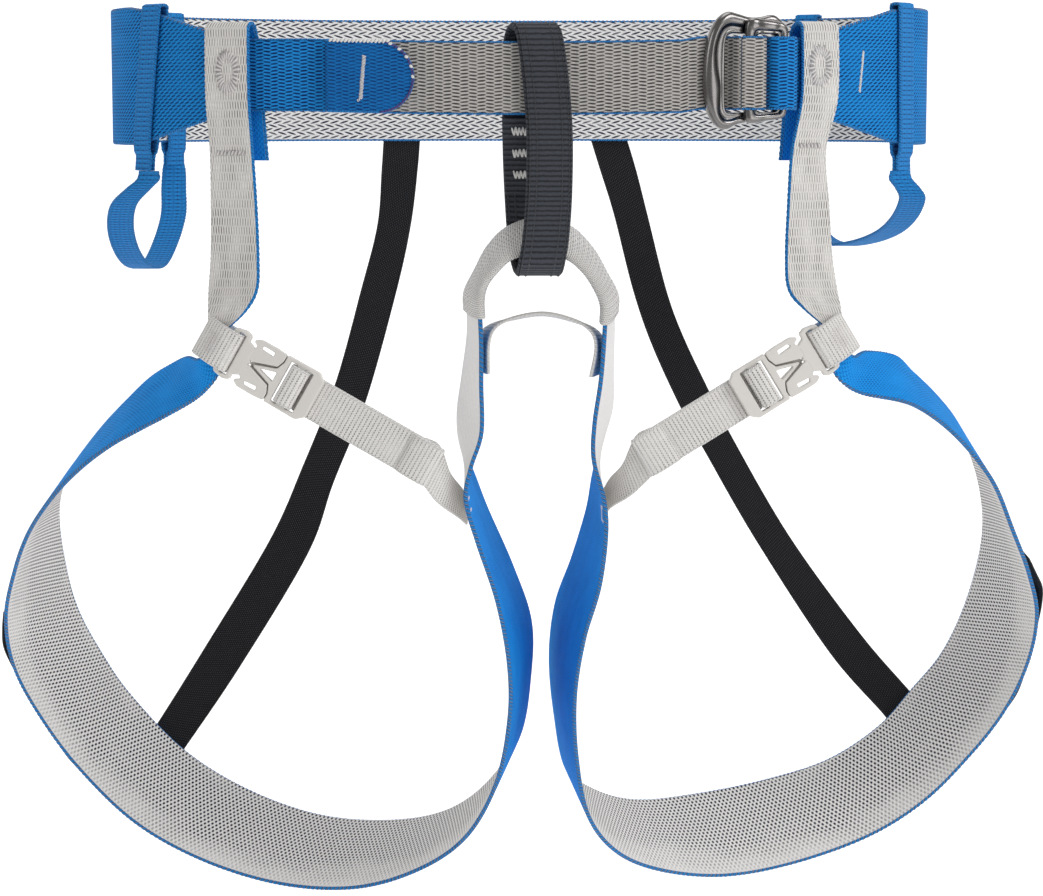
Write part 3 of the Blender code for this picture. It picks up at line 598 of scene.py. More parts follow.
def build_materials():
    blue, deep = (0.012, 0.245, 0.66), (0.002, 0.022, 0.12)
    grey, shade = (0.475, 0.455, 0.432), (0.06, 0.055, 0.056)
    pale, shadow = (0.72, 0.70, 0.67), (0.30, 0.285, 0.27)
    white = (0.87, 0.865, 0.855)
    LOOKS["blue_belt"] = woven("blue_belt_twill", blue, deep, (2.4, 1.15), 0.36, (0.46, 0.28), tilt=0.6,
        depth=0.25, fade=(45, 1.0, 0.85), sheen=0.0, specular=0.12)
    LOOKS["blue_strap"] = woven("blue_strap_weave", blue, deep, (1.2, 2.7), 0.5, (0.27, 0.56), slant=0.22,
        mirror=True, across=True, depth=0.25, sheen=0.0, specular=0.15, fade=(90, 0.8, 0.95))
    # The tab stop is the strap's own webbing. Its blue is the strap's weave painted darker: painted shade.
    LOOKS["blue_tab"] = woven("blue_tab_shaded_weave", (0.006, 0.14, 0.43), deep, (1.2, 2.4), 0.5, (0.26, 0.55),
        slant=0.22, mirror=True, across=True, depth=0.25, sheen=0.0, specular=0.15, fade=(90, 0.9, 0.7))
    LOOKS["blue_leg"] = woven("blue_leg_weave", (0.016, 0.29, 0.78), (0.004, 0.10, 0.42), (1.9, 0.9), 0.5,
        (0.38, 0.28), tilt=0.5, mirror=True, depth=0.12, roughness=0.75, sheen=0.0, specular=0.05,
        fade=(60, 1.6, 0.7))
    LOOKS["grey_belt"] = woven("grey_belt_herringbone", white, (0.012, 0.014, 0.045), (4.0, 1.5), 0.5,
        (0.5, 0.24), tilt=0.75, mirror=True, depth=0.35, fade=(110, 1.2, 1.0))
    LOOKS["grey_strap"] = woven("grey_strap_weave", grey, shade, (1.2, 2.9), 0.5, (0.27, 0.55),
        slant=0.22, mirror=True, across=True, depth=0.3, fade=(90, 0.8, 1.0))
    LOOKS["grey_riser"] = woven("grey_riser_weave", pale, (0.21, 0.2, 0.195), (1.05, 3.1), 0.5,
        (0.22, 0.5), slant=0.12, mirror=True, across=True, depth=0.2, fade=(70, 1.8, 0.66))
    LOOKS["grey_leg"] = woven("grey_leg_weave", (0.80, 0.785, 0.77), (0.015, 0.016, 0.035), (1.8, 1.75),
        0.5, (0.28, 0.4), tilt=0.25, depth=0.2, fade=(40, 1.0, 0.95), dense=(32, 26.0, 0.5), span=547.0)
    LOOKS["grey_bridge"] = woven("grey_bridge_weave", (0.78, 0.765, 0.75), (0.5, 0.49, 0.48), (1.8, 1.1),
        0.5, (0.22, 0.3), depth=0.1)
    LOOKS["edge_blue"] = selvedge("blue_selvedge", blue, (0.012, 0.24, 0.64), deep, pitch=2.0, depth=0.4)
    LOOKS["edge_mixed"] = selvedge("blue_white_selvedge", blue, (0.5, 0.56, 0.66), deep, pitch=1.8,
        share=0.8, depth=0.35)
    LOOKS["edge_grey"] = selvedge("grey_selvedge", pale, white, shadow, pitch=1.5, depth=0.15)
    LOOKS["pale_strap"] = woven("pale_strap_weave", (0.74, 0.72, 0.695), (0.25, 0.24, 0.225),
        (1.45, 0.95), 0.0, (0.2, 0.36), depth=0.15, fade=(60, 1.5, 0.75))
    LOOKS["sleeve"] = ribbed("sleeve_knit", (0.83, 0.815, 0.79), (0.34, 0.32, 0.31), 0.75, depth=0.2,
        dash=((1.5, 1.0), (0.24, 0.3), 0.55), trough_shade_share=0.55)
    LOOKS["charcoal"] = ribbed("charcoal_ribs", (0.058, 0.064, 0.078), (0.010, 0.011, 0.014), 1.8,
        depth=0.4, soft=0.55)
    LOOKS["elastic"] = woven("black_elastic_twill", (0.0105, 0.0105, 0.012), (0.05, 0.05, 0.055),
        (1.1, 0.75), 0.4, (0.34, 0.26), slant=0.7, mirror=True, depth=0.12, roughness=0.9, specular=0.15)
    LOOKS["gear"] = ribbed("blue_gear_ribs", (0.012, 0.24, 0.64), deep, 1.7, depth=0.25,
        dash=((1.7, 1.7), (0.26, 0.2), 0.3), trough_shade_share=0.5)
    LOOKS["white_thread"] = thread("white_thread", (0.85, 0.84, 0.82), (0.6, 0.59, 0.57))
    LOOKS["grey_thread"] = thread("grey_thread", (0.80, 0.775, 0.76), (0.50, 0.48, 0.48))
    # This thread is painted dark to stand for the shade between the riser's raised stitches.
    LOOKS["gap_shade_thread"] = thread("gap_shade_thread", (0.46, 0.44, 0.435), (0.26, 0.25, 0.25))
    LOOKS["charcoal_thread"] = thread("charcoal_thread", (0.05, 0.054, 0.064), (0.015, 0.015, 0.018))
    LOOKS["violet_thread"] = thread("violet_thread", (0.08, 0.05, 0.26), (0.02, 0.015, 0.10))
    LOOKS["gunmetal"] = gunmetal()
    LOOKS["plastic"] = plastic()


def gunmetal():
    """Dark anodised metal with a satin polish and faint handling marks."""
    look = Look("gunmetal_anodised", roughness=0.32, metallic=1.0, coordinates="Object")
    look.shader.inputs["Coat Weight"].default_value = 0.35
    look.shader.inputs["Coat Roughness"].default_value = 0.12
    cloud = look.noise(60.0, 4.0)
    grain = look.noise(3000.0, 2.0)
    look.colour(look.mix(cloud, (0.15, 0.143, 0.14), (0.23, 0.22, 0.217)))
    look.roughness(cloud * 0.1 + grain * 0.05 + 0.17)
    look.bump(grain, 0.012)
    return look.material


def plastic():
    """Light grey moulded plastic with a fine spark texture."""
    look = Look("moulded_plastic", roughness=0.5, coordinates="Object")
    cloud = look.noise(80.0, 3.0)
    grain = look.noise(2600.0, 3.0)
    look.colour(look.mix(cloud, (0.64, 0.615, 0.58), (0.70, 0.675, 0.64)))
    look.roughness(grain * 0.2 + 0.38)
    look.bump(grain, 0.03)
    return look.material


# ---- meshes


def linked(name, data):
    """A new object with this data, in the scene."""
    obj = bpy.data.objects.new(name, data)
    bpy.context.scene.collection.objects.link(obj)
    return obj


def ring_faces(here, there, size):
    """Quads between two rings of points, from the index of each ring's first one."""
    return [(here + k, here + (k + 1) % size, there + (k + 1) % size, there + k) for k in range(size)]


def mesh_object(name, points, faces, looks, body, uvs=None, which=None, sharp=50, replaces=()):
    """A smooth-shaded piece from points in millimetres, which rides on a body."""
    mesh = bpy.data.meshes.new(name)
    mesh.from_pydata((np.asarray(points) * MM).tolist(), [], faces)
    for look in looks:
        mesh.materials.append(LOOKS[look])
    if which is not None:
        mesh.polygons.foreach_set("material_index", np.asarray(which, np.int32))
    if uvs is not None:
        layer = mesh.uv_layers.new(name="webbing")
        layer.data.foreach_set("uv", (np.asarray(uvs, float) * MM).astype(np.float32).ravel())
    mesh.shade_smooth()
    mesh.set_sharp_from_angle(angle=math.radians(sharp))
    mesh.validate()
    obj = linked(name, mesh)
    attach(obj, body)
    if replaces:
        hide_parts(*replaces)


class Ribbon:
    """A strip of webbing through rows of two edge points, resampled evenly along its length."""

    def __init__(self, rows, thickness, step=1.0, closed=False):
        rows = np.asarray(rows, float)
        lengths = distances((rows[:, :3] + rows[:, 3:]) / 2)
        self.length = lengths[-1]
        self.closed = closed
        self.thickness = thickness
        count = max(2, int(round(self.length / step)) + 1)
        self.u = np.linspace(0, self.length, count)
        even = np.column_stack([np.interp(self.u, lengths, rows[:, k]) for k in range(6)])
        self.first, self.second = even[:, :3], even[:, 3:]
        self.middle = middle = (self.first + self.second) / 2
        if closed:
            run = np.empty_like(middle)
            run[1:-1] = middle[2:] - middle[:-2]
            run[0] = run[-1] = middle[1] - middle[-2]
        else:
            run = np.gradient(middle, axis=0)
        normal = np.cross(run, self.second - self.first)
        self.normal = normal / np.linalg.norm(normal, axis=1, keepdims=True)

    def cut(self, u, *lines):
        """Where lines of points cross a distance along."""
        return [np.array([np.interp(u, self.u, line[:, k]) for k in range(3)]) for line in lines]

    def at(self, u, v, side=1, lift=0.0):
        """A point on a face, u along and v across in millimetres, and the outward normal there."""
        u = u % self.length if self.closed else min(max(u, 0), self.length)
        first, second, normal = self.cut(u, self.first, self.second, self.normal)
        out = unit(normal) * side
        return first + unit(second - first) * v + out * (self.thickness / 2 + lift), out

    def stitch(self, start, end, side):
        """A stitch between two (u, v) places, as thread_mesh takes it."""
        point, out = self.at(*start, side)
        return point, self.at(*end, side)[0], out

    def width(self, u=0.0):
        """The width at a distance along."""
        first, second = self.cut(u, self.first, self.second)
        return float(np.linalg.norm(second - first))

    def build(self, name, front, back, edge, body="harness", columns=8, band=0.75, ripple=0.0,
              ripple_pitch=2.0, second_edge=None, replaces=(), slot=None):
        """The piece: front and back are its faces' looks, and edge is its selvedges', but for the far
        one's rim, which takes second_edge."""
        half = self.thickness / 2
        wide = np.linalg.norm(self.second - self.first, axis=1)[:, None]
        across = (self.second - self.first) / wide
        wave = ripple * np.sin(2 * math.pi * self.u / ripple_pitch)[:, None]
        shares = np.linspace(0, 1, columns + 1)
        places = [np.full_like(wide, half)]
        places += [band + (wide - 2 * band) * s for s in shares]
        places += [wide - half]
        bends = np.radians([60, 20, -20, -60])
        rings = []
        for place in places:
            rings.append(self.first + across * place + self.normal * half)
        for bend in bends:
            rings.append(self.second - across * half + across * half * math.cos(bend) + across * wave
                         + self.normal * half * math.sin(bend))
        for place in reversed(places):
            rings.append(self.first + across * place - self.normal * half)
        for bend in reversed(bends):
            rings.append(self.first + across * half - across * half * math.cos(bend) - across * wave
                         + self.normal * half * math.sin(bend))
        size, count = len(rings), len(self.u)
        points = np.stack(rings, axis=1).reshape(-1, 3)
        top = len(places)
        arc = half * math.radians(40)
        faces, uvs, which = [], [], []
        # Which look each quad of a ring takes, and which two places across it lies between.
        spans = []
        for k in range(size):
            if k < top - 1:
                kind = 2 if k in (0, top - 2) else 0
                spans.append((kind, k, k + 1))
            elif k < top + len(bends):
                spans.append((3, None, k - top + 1))
            elif k < 2 * top + len(bends) - 1:
                j = 2 * top + len(bends) - 1 - k
                kind = 2 if j in (1, top - 1) else 1
                spans.append((kind, j, j - 1))
            else:
                spans.append((2, None, k - 2 * top - len(bends) + 1))
        total = count - 1
        across_at = np.column_stack([p[:, 0] for p in places]) - wide / 2 + PATTERN_MIDDLE
        for i in range(total):
            j = 0 if self.closed and i == total - 1 else i + 1
            faces += ring_faces(i * size, j * size, size)
            for kind, a, b in spans:
                which.append(kind)
                if kind < 2:
                    v = (across_at[i, a], across_at[i, b], across_at[j, b], across_at[j, a])
                elif a is None:
                    v = (-arc * b, -arc * (b + 1), -arc * (b + 1), -arc * b)
                else:
                    v = (0.0, band, band, 0.0)
                uvs += zip((self.u[i], self.u[i], self.u[i + 1], self.u[i + 1]), v)
        if self.closed:
            points = points[: total * size]
        else:
            for start, order in ((0, -1), (total * size, 1)):
                faces.append(tuple(range(start, start + size))[::order])
                which.append(0)
                uvs += [(0.0, 0.0)] * size
        looks = (front, back, edge, second_edge or edge)
        mesh_object(name, points, faces, looks, body, uvs, which, replaces=replaces)


def thread_mesh(name, stitches, radius, look, body="harness"):
    """Stitches as short arched threads, from (start, end, outward normal) in millimetres."""
    sides = 6
    # Stations along a stitch: the share of its length, of its radius, and the lift in radii.
    stations = ((0.0, 0.35, -0.5), (0.12, 0.85, 0.15), (0.5, 1.0, 0.6), (0.88, 0.85, 0.15), (1.0, 0.35, -0.5))
    points, faces = [], []
    for start, end, out in stitches:
        start, end, out = (np.asarray(x, float) for x in (start, end, out))
        side = unit(np.cross(unit(end - start), out))
        base = len(points)
        for share, swell, lift in stations:
            centre = start + (end - start) * share + out * lift * radius
            for angle in np.arange(sides) * 2 * math.pi / sides:
                points.append(centre + radius * swell * (side * math.cos(angle) + out * math.sin(angle)))
        last = base + (len(stations) - 1) * sides
        for ring in range(base, last, sides):
            faces += ring_faces(ring, ring + sides, sides)
        faces.append(tuple(range(base, base + sides))[::-1])
        faces.append(tuple(range(last, last + sides)))
    mesh_object(name, points, faces, [look], body, sharp=80)


def seam(ribbon, start, end, side, stitch, gap):
    """A line of straight stitches between two (u, v) places of a ribbon."""
    start, end = np.asarray(start, float), np.asarray(end, float)
    count = max(1, int(np.linalg.norm(end - start) / (stitch + gap)))
    inset = gap / (stitch + gap) / 2
    return [ribbon.stitch(start + (end - start) * (k + inset) / count,
                          start + (end - start) * (k + 1 - inset) / count, side) for k in range(count)]


def bartack(ribbon, start, end, wide, pitch, side=1):
    """Dense zigzag stitches along a line between two (u, v) places of a ribbon."""
    start, end = np.asarray(start, float), np.asarray(end, float)
    count = max(2, int(np.linalg.norm(end - start) / pitch))
    run = unit(end - start)
    over = np.array([-run[1], run[0]])
    lean = run * pitch * 0.35
    made = []
    for k in range(count):
        centre = start + (end - start) * (k + 0.5) / count
        near, far = wide / 2 + RANDOM.uniform(-0.12, 0.12, 2)
        made.append(ribbon.stitch(centre - over * near - lean, centre + over * far + lean, side))
    return made


def zigzag(ribbon, along, low, high, tall, strokes, side=1):
    """One zigzag thread across a ribbon, from low to high, with strokes this tall."""
    places = []
    for k in range(strokes + 1):
        wander = RANDOM.uniform(-0.15, 0.15, 2)
        up = tall / 2 if k % 2 else -tall / 2
        places.append((along + up + wander[0], low + (high - low) * k / strokes + wander[1]))
    return [ribbon.stitch(a, b, side) for a, b in zip(places[:-1], places[1:])]


def nearest(ribbon, point):
    """The distance along a ribbon that is nearest to a point."""
    return float(ribbon.u[np.argmin(np.linalg.norm(ribbon.middle - np.asarray(point, float), axis=1))])


def oval_bartack(ribbon, centre, inner, outer, count, side=1, start=0.0):
    """Radial stitches round an oval, from half-sizes inner to half-sizes outer."""
    made = []
    for angle in (np.arange(count) + start) * 2 * math.pi / count:
        turn = np.array([math.cos(angle), math.sin(angle)])
        near, far = RANDOM.uniform(0.86, 1.12, 2)
        made.append(ribbon.stitch(centre + turn * inner * near, centre + turn * outer * far, side))
    return made


def rounded(corners):
    """An outline of (x, y, radius) corners with each corner turned to an arc."""
    made = []
    for i, (x, y, radius) in enumerate(corners):
        here = np.array([x, y], float)
        back, on = (unit(np.array(corners[j % len(corners)][:2], float) - here) for j in (i - 1, i + 1))
        half = math.acos(max(-1.0, min(1.0, float(back @ on)))) / 2
        reach = radius / math.tan(half)
        centre = here + unit(back + on) * radius / math.sin(half)
        start, end = here + back * reach - centre, here + on * reach - centre
        made += [centre + radius * unit(start * (1 - t) + end * t) for t in np.linspace(0, 1, ARC_POINTS)]
    return made


def mirrored(half):
    """A whole outline from the corners of its upper half, the first of them on the axis."""
    return rounded(half + [(x, -y, r) for x, y, r in reversed(half[1:])])


def box_outline(x0, x1, y0, y1, radius):
    return rounded([(x0, y0, radius), (x1, y0, radius), (x1, y1, radius), (x0, y1, radius)])


def plate(name, outline, holes, place, low, high, look, body, bevel, replaces=()):
    """A moulded plate with rounded edges, from an outline in a frame's first two axes."""
    curve = bpy.data.curves.new(name, "CURVE")
    curve.dimensions = "2D"
    curve.fill_mode = "BOTH"
    curve.extrude = ((high - low) / 2 - bevel) * MM
    curve.bevel_depth = bevel * MM
    curve.bevel_resolution = 3
    curve.offset = -bevel * MM
    for loop in (outline, *holes):
        spline = curve.splines.new("POLY")
        spline.points.add(len(loop) - 1)
        for point, (x, y) in zip(spline.points, loop):
            point.co = (x * MM, y * MM, 0, 1)
        spline.use_cyclic_u = True
    drawn = linked(name + "_drawn", curve)
    bpy.context.view_layer.update()
    mesh = bpy.data.meshes.new_from_object(drawn)
    bpy.data.objects.remove(drawn, do_unlink=True)
    points = [place.point(v.co[0] / MM, v.co[1] / MM, v.co[2] / MM + (low + high) / 2) for v in mesh.vertices]
    faces = place.facing([tuple(p.vertices) for p in mesh.polygons])
    mesh_object(name, points, faces, [look], body, sharp=40, replaces=replaces)


def sculpted_ring(name, rows, low, body, replaces):
    """A cast ring round the waist buckle's window, with a rounded bar outside a crease and a lip
    inside it. The rows give the outer edge, the inner edge, the top's level and how far across the
    crease lies."""
    rings = closed_smooth(rows, 8)[:-1]
    points = []
    for outer_a, outer_b, inner_a, inner_b, top, crease in rings:
        outer, inner = np.array([outer_a, outer_b]), np.array([inner_a, inner_b])
        profile = [(0.0, 0.3), (0.02, 0.52), (0.06, 0.72), (0.13, 0.89), (0.24, 0.99), (crease - 0.2, 1.0)]
        profile += [(crease - 0.08, 0.9), (crease, 0.7), (crease + 0.05, 0.64), (0.82, 0.66), (0.9, 0.72)]
        profile += [(0.96, 0.66), (1.0, 0.4), (0.97, 0.06), (0.9, 0.0), (0.1, 0.0), (0.02, 0.08)]
        for share, height in profile:
            a, b = outer + (inner - outer) * share
            points.append(WAIST_BUCKLE.point(a, b, low + (top - low) * height))
    size = len(profile)
    faces = []
    for i in range(len(rings)):
        here, there = i * size, (i + 1) % len(rings) * size
        for k in range(size):
            far = (k + 1) % size
            faces.append((here + k, there + k, there + far, here + far))
    mesh_object(name, points, WAIST_BUCKLE.facing(faces), ["gunmetal"], body, sharp=70, replaces=replaces)


# ---- camera, light and floor


def build_stage():
    lens = bpy.data.cameras.new("camera")
    lens.lens = 95.6
    lens.sensor_width = 36.0
    camera = linked("camera", lens)
    camera.location = (0.00075, -1.05, -0.013)
    camera.rotation_euler = (math.radians(83.1), 0, 0)
    bpy.context.scene.camera = camera

    lights = (
        ("key", (1.0, -0.9, 0.9), 0.8, 9.8),
        ("side", (-1.3, -0.5, 0.5), 0.8, 2.8),
        ("top", (0.0, 0.2, 1.4), 1.0, 6.0),
        ("front", (0.9, -1.2, -0.1), 0.8, 3.2),
    )
    for name, place, size, power in lights:
        data = bpy.data.lights.new(name, "AREA")
        data.shape = "DISK"
        data.size = size
        data.energy = power
        lamp = linked(name, data)
        lamp.location = place
        toward = Vector((0, 0, -0.15)) - Vector(place)
        lamp.rotation_euler = toward.to_track_quat("-Z", "Y").to_euler()

    world = bpy.data.worlds.new("studio")
    world.use_nodes = True
    background = world.node_tree.nodes["Background"].inputs
    background["Color"].default_value = (1, 1, 1, 1)
    background["Strength"].default_value = 0.36
    bpy.context.scene.world = world
    bpy.context.scene.view_settings.view_transform = "Standard"

    floor_look = Look("pale_floor", roughness=0.9, coordinates="Object")
    floor_look.colour(floor_look.mix(floor_look.noise(3.0), (0.93, 0.93, 0.93), (0.95, 0.95, 0.95)))
    floor_look.shader.inputs["Emission Color"].default_value = (1, 1, 1, 1)
    floor_look.shader.inputs["Emission Strength"].default_value = 0.5
    size, height, wall, bend = 7.0, -1.5, 1.8, 0.8
    profile = [(-size, height), (wall, height)]
    profile += [(wall + bend * math.sin(a), height + bend * (1 - math.cos(a)))
                for a in np.linspace(0.1, math.pi / 2, 12)]
    profile += [(wall + bend, 4.0)]
    points = [(x, y, z) for y, z in profile for x in (-size, size)]
    mesh = bpy.data.meshes.new("floor")
    mesh.from_pydata(points, [], [(2 * i, 2 * i + 1, 2 * i + 3, 2 * i + 2) for i in range(len(profile) - 1)])
    mesh.materials.append(floor_look.material)
    mesh.shade_smooth()
    linked("floor", mesh)


# ---- waist


def waist_rows(rows):
    """Rows of (along, out, height) pairs mapped on to the waist."""
    return [np.concatenate([waist_point(*r[:3]), waist_point(*r[3:])]) for r in rows]


def outward(along):
    """The direction out from the belt at a distance round the waist."""
    return unit(waist_point(along, 1, 0) - waist_point(along, 0, 0))


def strip_rows(start, end, out, steps, half=lambda s: STRAP_HALF_HEIGHT, middle=front_sag):
    """Rows of a strip that runs round the waist at one offset."""
    return waist_rows([upright(s, out, middle(s), half(s)) for s in np.linspace(start, end, steps)])


def buckle_rows(*path):
    """Rows of webbing at the waist buckle, along a path of (along, out) in its frame."""
    return WAIST_BUCKLE.rows(path, STRAP_HALF_HEIGHT)


def build_belt():
    girth = 2 * WAIST_HALF_GIRTH
    rows = strip_rows(BELT_RIGHT_END, girth + BELT_LEFT_END, BELT_THICKNESS / 2, 400,
                      half=lambda s: belt_half_height(min(s, girth - s)), middle=lambda s: 0.0)
    belt = Ribbon(rows, BELT_THICKNESS, step=0.55)
    belt.build("belt", "blue_belt", "grey_belt", "edge_blue", columns=10, ripple=0.12, ripple_pitch=1.7,
               second_edge="edge_mixed", replaces=["waist_belt"], slot="blue_webbing")
    v = belt.width(17) / 2
    tack = bartack(belt, (17.8, v - 5.6), (19.4, v + 9.2), 1.0, 0.55)
    thread_mesh("belt_bartack", tack, FINE_THREAD, "white_thread")


def build_straps():
    front_end = BUCKLE_AT - 22
    rows = strip_rows(-128, front_end, INSIDE, 120)
    rows += buckle_rows((-16, INSIDE), (-12, INSIDE - 0.2), (-8.5, INSIDE - 0.4))
    strap = Ribbon(smooth(rows, 3), BELT_THICKNESS, step=0.55)
    strap.build("front_strap", "blue_strap", "grey_strap", "edge_blue", band=0.55, ripple=0.1,
                ripple_pitch=1.7, replaces=["waist_strap"], slot="blue_webbing")

    rows = strip_rows(-63.5, front_end, BELT_THICKNESS / 2, 80)
    rows += buckle_rows((-16, 0.8), (-11, 0.7), (-8.4, 0.6), (-6, 1.6), (-4.9, 3.6), (-4.3, 5.6),
                        (-3.9, 6.6), (-3.3, 7.3))
    tail = Ribbon(smooth(rows, 3), BELT_THICKNESS, step=0.55)
    tail.build("strap_tail", "grey_strap", "blue_strap", "edge_blue", band=0.5, ripple=0.1, ripple_pitch=1.7,
               replaces=["waist_strap_tail"], slot="grey_webbing")
    build_tail_stop()


def build_tail_stop():
    """The tail's end, folded forwards and sewn down, with a half-round tip."""
    radius = STRAP_HALF_HEIGHT
    out = BELT_THICKNESS + GAP + BELT_THICKNESS / 2 + 0.9
    centre = -35.5 - radius
    fold = ((-63.3, 0.8), (-64.6, 0.95), (-65.6, 2.2), (-65.0, out + 0.1), (-63, out + 0.3))
    rows = [upright(s, o, front_sag(s), radius) for s, o in fold]
    rows += [upright(s, out, front_sag(s), radius) for s in np.linspace(-62, centre, 14)[:-1]]
    for angle in np.radians(np.linspace(0, 84, 22)):
        s = centre + radius * math.sin(angle)
        rows.append(upright(s, out, front_sag(s), radius * math.cos(angle)))
    stop = Ribbon(waist_rows(rows), BELT_THICKNESS, step=0.4)
    # Its outer face takes the strap's blue painted darker, as painted shade.
    stop.build("tail_stop", "blue_tab", "grey_strap", "edge_blue", replaces=["waist_tail_stop"],
               slot="blue_webbing")
    at = 16.0
    tack = bartack(stop, (at, 4.8), (at + 1.4, 19.6), 1.4, 0.5)
    tack += bartack(stop, (at - 1.1, 4.0), (at, 4.8), 0.9, 0.5)
    thread_mesh("tail_stop_bartack", tack, FINE_THREAD, "grey_thread")

    lift = out + BELT_THICKNESS / 2
    violet, white = [], []
    facing = outward(centre)
    for k, angle in enumerate(np.arange(-86, 86, 5.6)):
        ends = []
        for turn, reach in ((angle, 0.15), (angle + 6.0, 0.75)):
            along = centre + (radius - reach) * math.cos(math.radians(turn))
            height = front_sag(along) + (radius - reach) * math.sin(math.radians(turn))
            ends.append(waist_point(along, lift, height))
        (white if k % 3 == 0 and angle > -10 else violet).append((*ends, facing))
    thread_mesh("tail_stop_rim", violet, 0.36, "violet_thread")
    for along in np.arange(-64.5, -44.0, 1.3):
        top = front_sag(along) + radius
        white.append((waist_point(along, lift - 0.1, top - 1.1),
                      waist_point(along + 1.3, lift - 0.1, top + 0.1), outward(along)))
    thread_mesh("tail_stop_edging", white, 0.5, "white_thread")


def build_waist_buckle():
    frame_rows = [
        (13.6, 15.2, 10.4, 11.5, 4.4, 0.6),
        (11.4, 19.0, 9.0, 13.3, 4.4, 0.6),
        (8.6, 20.0, 6.5, 13.3, 4.5, 0.6),
        (4.6, 19.2, 3.0, 13.3, 4.5, 0.6),
        (0.5, 19.2, 0.0, 13.3, 4.6, 0.6),
        (-3.2, 20.2, -3.2, 13.3, 4.9, 0.62),
        (-7.3, 20.9, -5.8, 13.3, 5.3, 0.62),
        (-11.0, 18.6, -7.6, 12.4, 5.8, 0.58),
        (-13.6, 14.3, -8.3, 10.0, 6.0, 0.54),
        (-15.1, 8.9, -8.3, 6.5, 6.0, 0.5),
        (-15.9, 2.0, -8.3, 2.0, 6.0, 0.58),
        (-16.0, -5.0, -8.3, -4.0, 6.0, 0.74),
        (-15.2, -10.8, -8.3, -9.0, 6.0, 0.7),
        (-13.2, -15.6, -8.1, -11.8, 5.8, 0.58),
        (-10.4, -18.6, -7.2, -13.1, 5.4, 0.55),
        (-7.2, -19.2, -5.2, -13.3, 5.0, 0.58),
        (-3.6, -17.6, -3.0, -13.3, 4.6, 0.6),
        (0.5, -16.8, 0.2, -13.2, 4.5, 0.6),
        (6.0, -16.4, 5.0, -13.2, 4.4, 0.6),
        (11.0, -15.4, 9.0, -13.0, 4.4, 0.6),
        (13.4, -11.5, 10.4, -10.5, 4.4, 0.6),
        (14.0, 0.0, 10.6, 0.0, 4.4, 0.6),
    ]
    sculpted_ring("buckle_frame", frame_rows, 1.9, "harness", ["waist_buckle_frame"])
    plate_rows = [
        (13.6, 0.0, 10.2, 0.0, 7.2, 0.7),
        (13.8, 10.0, 10.2, 9.0, 7.2, 0.7),
        (13.8, 15.2, 10.0, 12.9, 7.2, 0.7),
        (12.0, 17.2, 8.8, 13.3, 7.2, 0.75),
        (8.8, 17.7, 7.6, 13.3, 6.9, 0.75),
        (5.0, 18.3, 5.2, 13.3, 7.2, 0.75),
        (1.5, 18.9, 3.6, 13.2, 7.8, 0.75),
        (-0.9, 18.0, 2.8, 12.9, 7.8, 0.75),
        (-1.7, 15.0, 2.6, 12.0, 7.4, 0.75),
        (-1.7, 8.0, 2.6, 7.0, 7.2, 0.7),
        (-1.7, 0.0, 2.6, 0.0, 7.2, 0.7),
        (-1.7, -8.0, 2.6, -7.0, 7.2, 0.7),
        (-1.9, -13.2, 2.6, -11.4, 7.4, 0.75),
        (-1.2, -16.6, 2.9, -12.9, 7.6, 0.75),
        (2.0, -17.1, 4.0, -13.2, 7.4, 0.75),
        (6.0, -16.3, 6.4, -13.2, 7.0, 0.75),
        (10.0, -15.7, 8.6, -13.2, 7.0, 0.75),
        (13.0, -14.6, 10.0, -12.4, 7.0, 0.7),
        (13.8, -10.0, 10.2, -9.0, 7.1, 0.7),
    ]
    sculpted_ring("buckle_plate", plate_rows, 4.9, "buckle_plate", ["waist_buckle_plate"])

    rows = buckle_rows((-1.9, 1.8), (0.4, 3.0), (3.2, 3.7), (4.6, 4.7), (5.0, 6.2), (4.5, 7.7), (3.2, 8.5),
                       (0.8, 8.6), (-1.8, 8.4), (-3.2, 7.6))
    loop = Ribbon(smooth(rows, 8), BELT_THICKNESS, step=0.4)
    loop.build("plate_bight", "blue_strap", "grey_strap", "edge_blue", "buckle_plate", band=0.5, ripple=0.1,
               replaces=["waist_strap_loop"], slot="grey_webbing")

    deeper = INSIDE - BELT_THICKNESS - GAP
    front = ((128, INSIDE), (118, INSIDE), (108, INSIDE), (103, -1.0), (99.5, 0), (97, 1.0))
    back = ((104, deeper), (110, deeper), (118, deeper), (128, deeper))
    rows = waist_rows([(s, out, -12.2, s, out, 12.8) for s, out in front])
    rows += buckle_rows((16.9, 4.6), (15.4, 7.7), (12.5, 8.9), (10, 8.8), (8.2, 7.6), (7.5, 5.8), (7.5, 3.2),
                        (8.2, 1.2), (10.6, 0.2), (15, -0.6), (20, -1.8))
    rows += waist_rows([(s, out, -12.2, s, out, 12.8) for s, out in back])
    fixed = Ribbon(smooth(rows, 8), BELT_THICKNESS, step=0.45)
    fixed.build("fixed_strap", "grey_strap", "blue_strap", "edge_blue", ripple=0.1,
                replaces=["waist_buckle_strap"], slot="blue_webbing")


# ---- risers and leg loops


def wrap_rows(knee_edge, waist_edge, shift, inner, top):
    """The riser's fold over the belt: up the inner side, over the top and down the front."""
    outer = 2 * GAP + BELT_THICKNESS + RISER_THICKNESS / 2
    path = ((inner, -29.5, 1.0), (inner, -10, 0.6), (inner, 10, 0.2), (inner + 0.3, top - 2.2, 0),
            (0.5 * (inner + 0.4), top - 0.3, 0), (0.6, top, 0), (outer - 0.6, top - 1.0, 0),
            (outer, top - 4, 0), (outer, -8, 0))
    return waist_rows([(knee_edge + shift * move, out, z, waist_edge + shift * move, out, z)
                       for out, z, move in path])


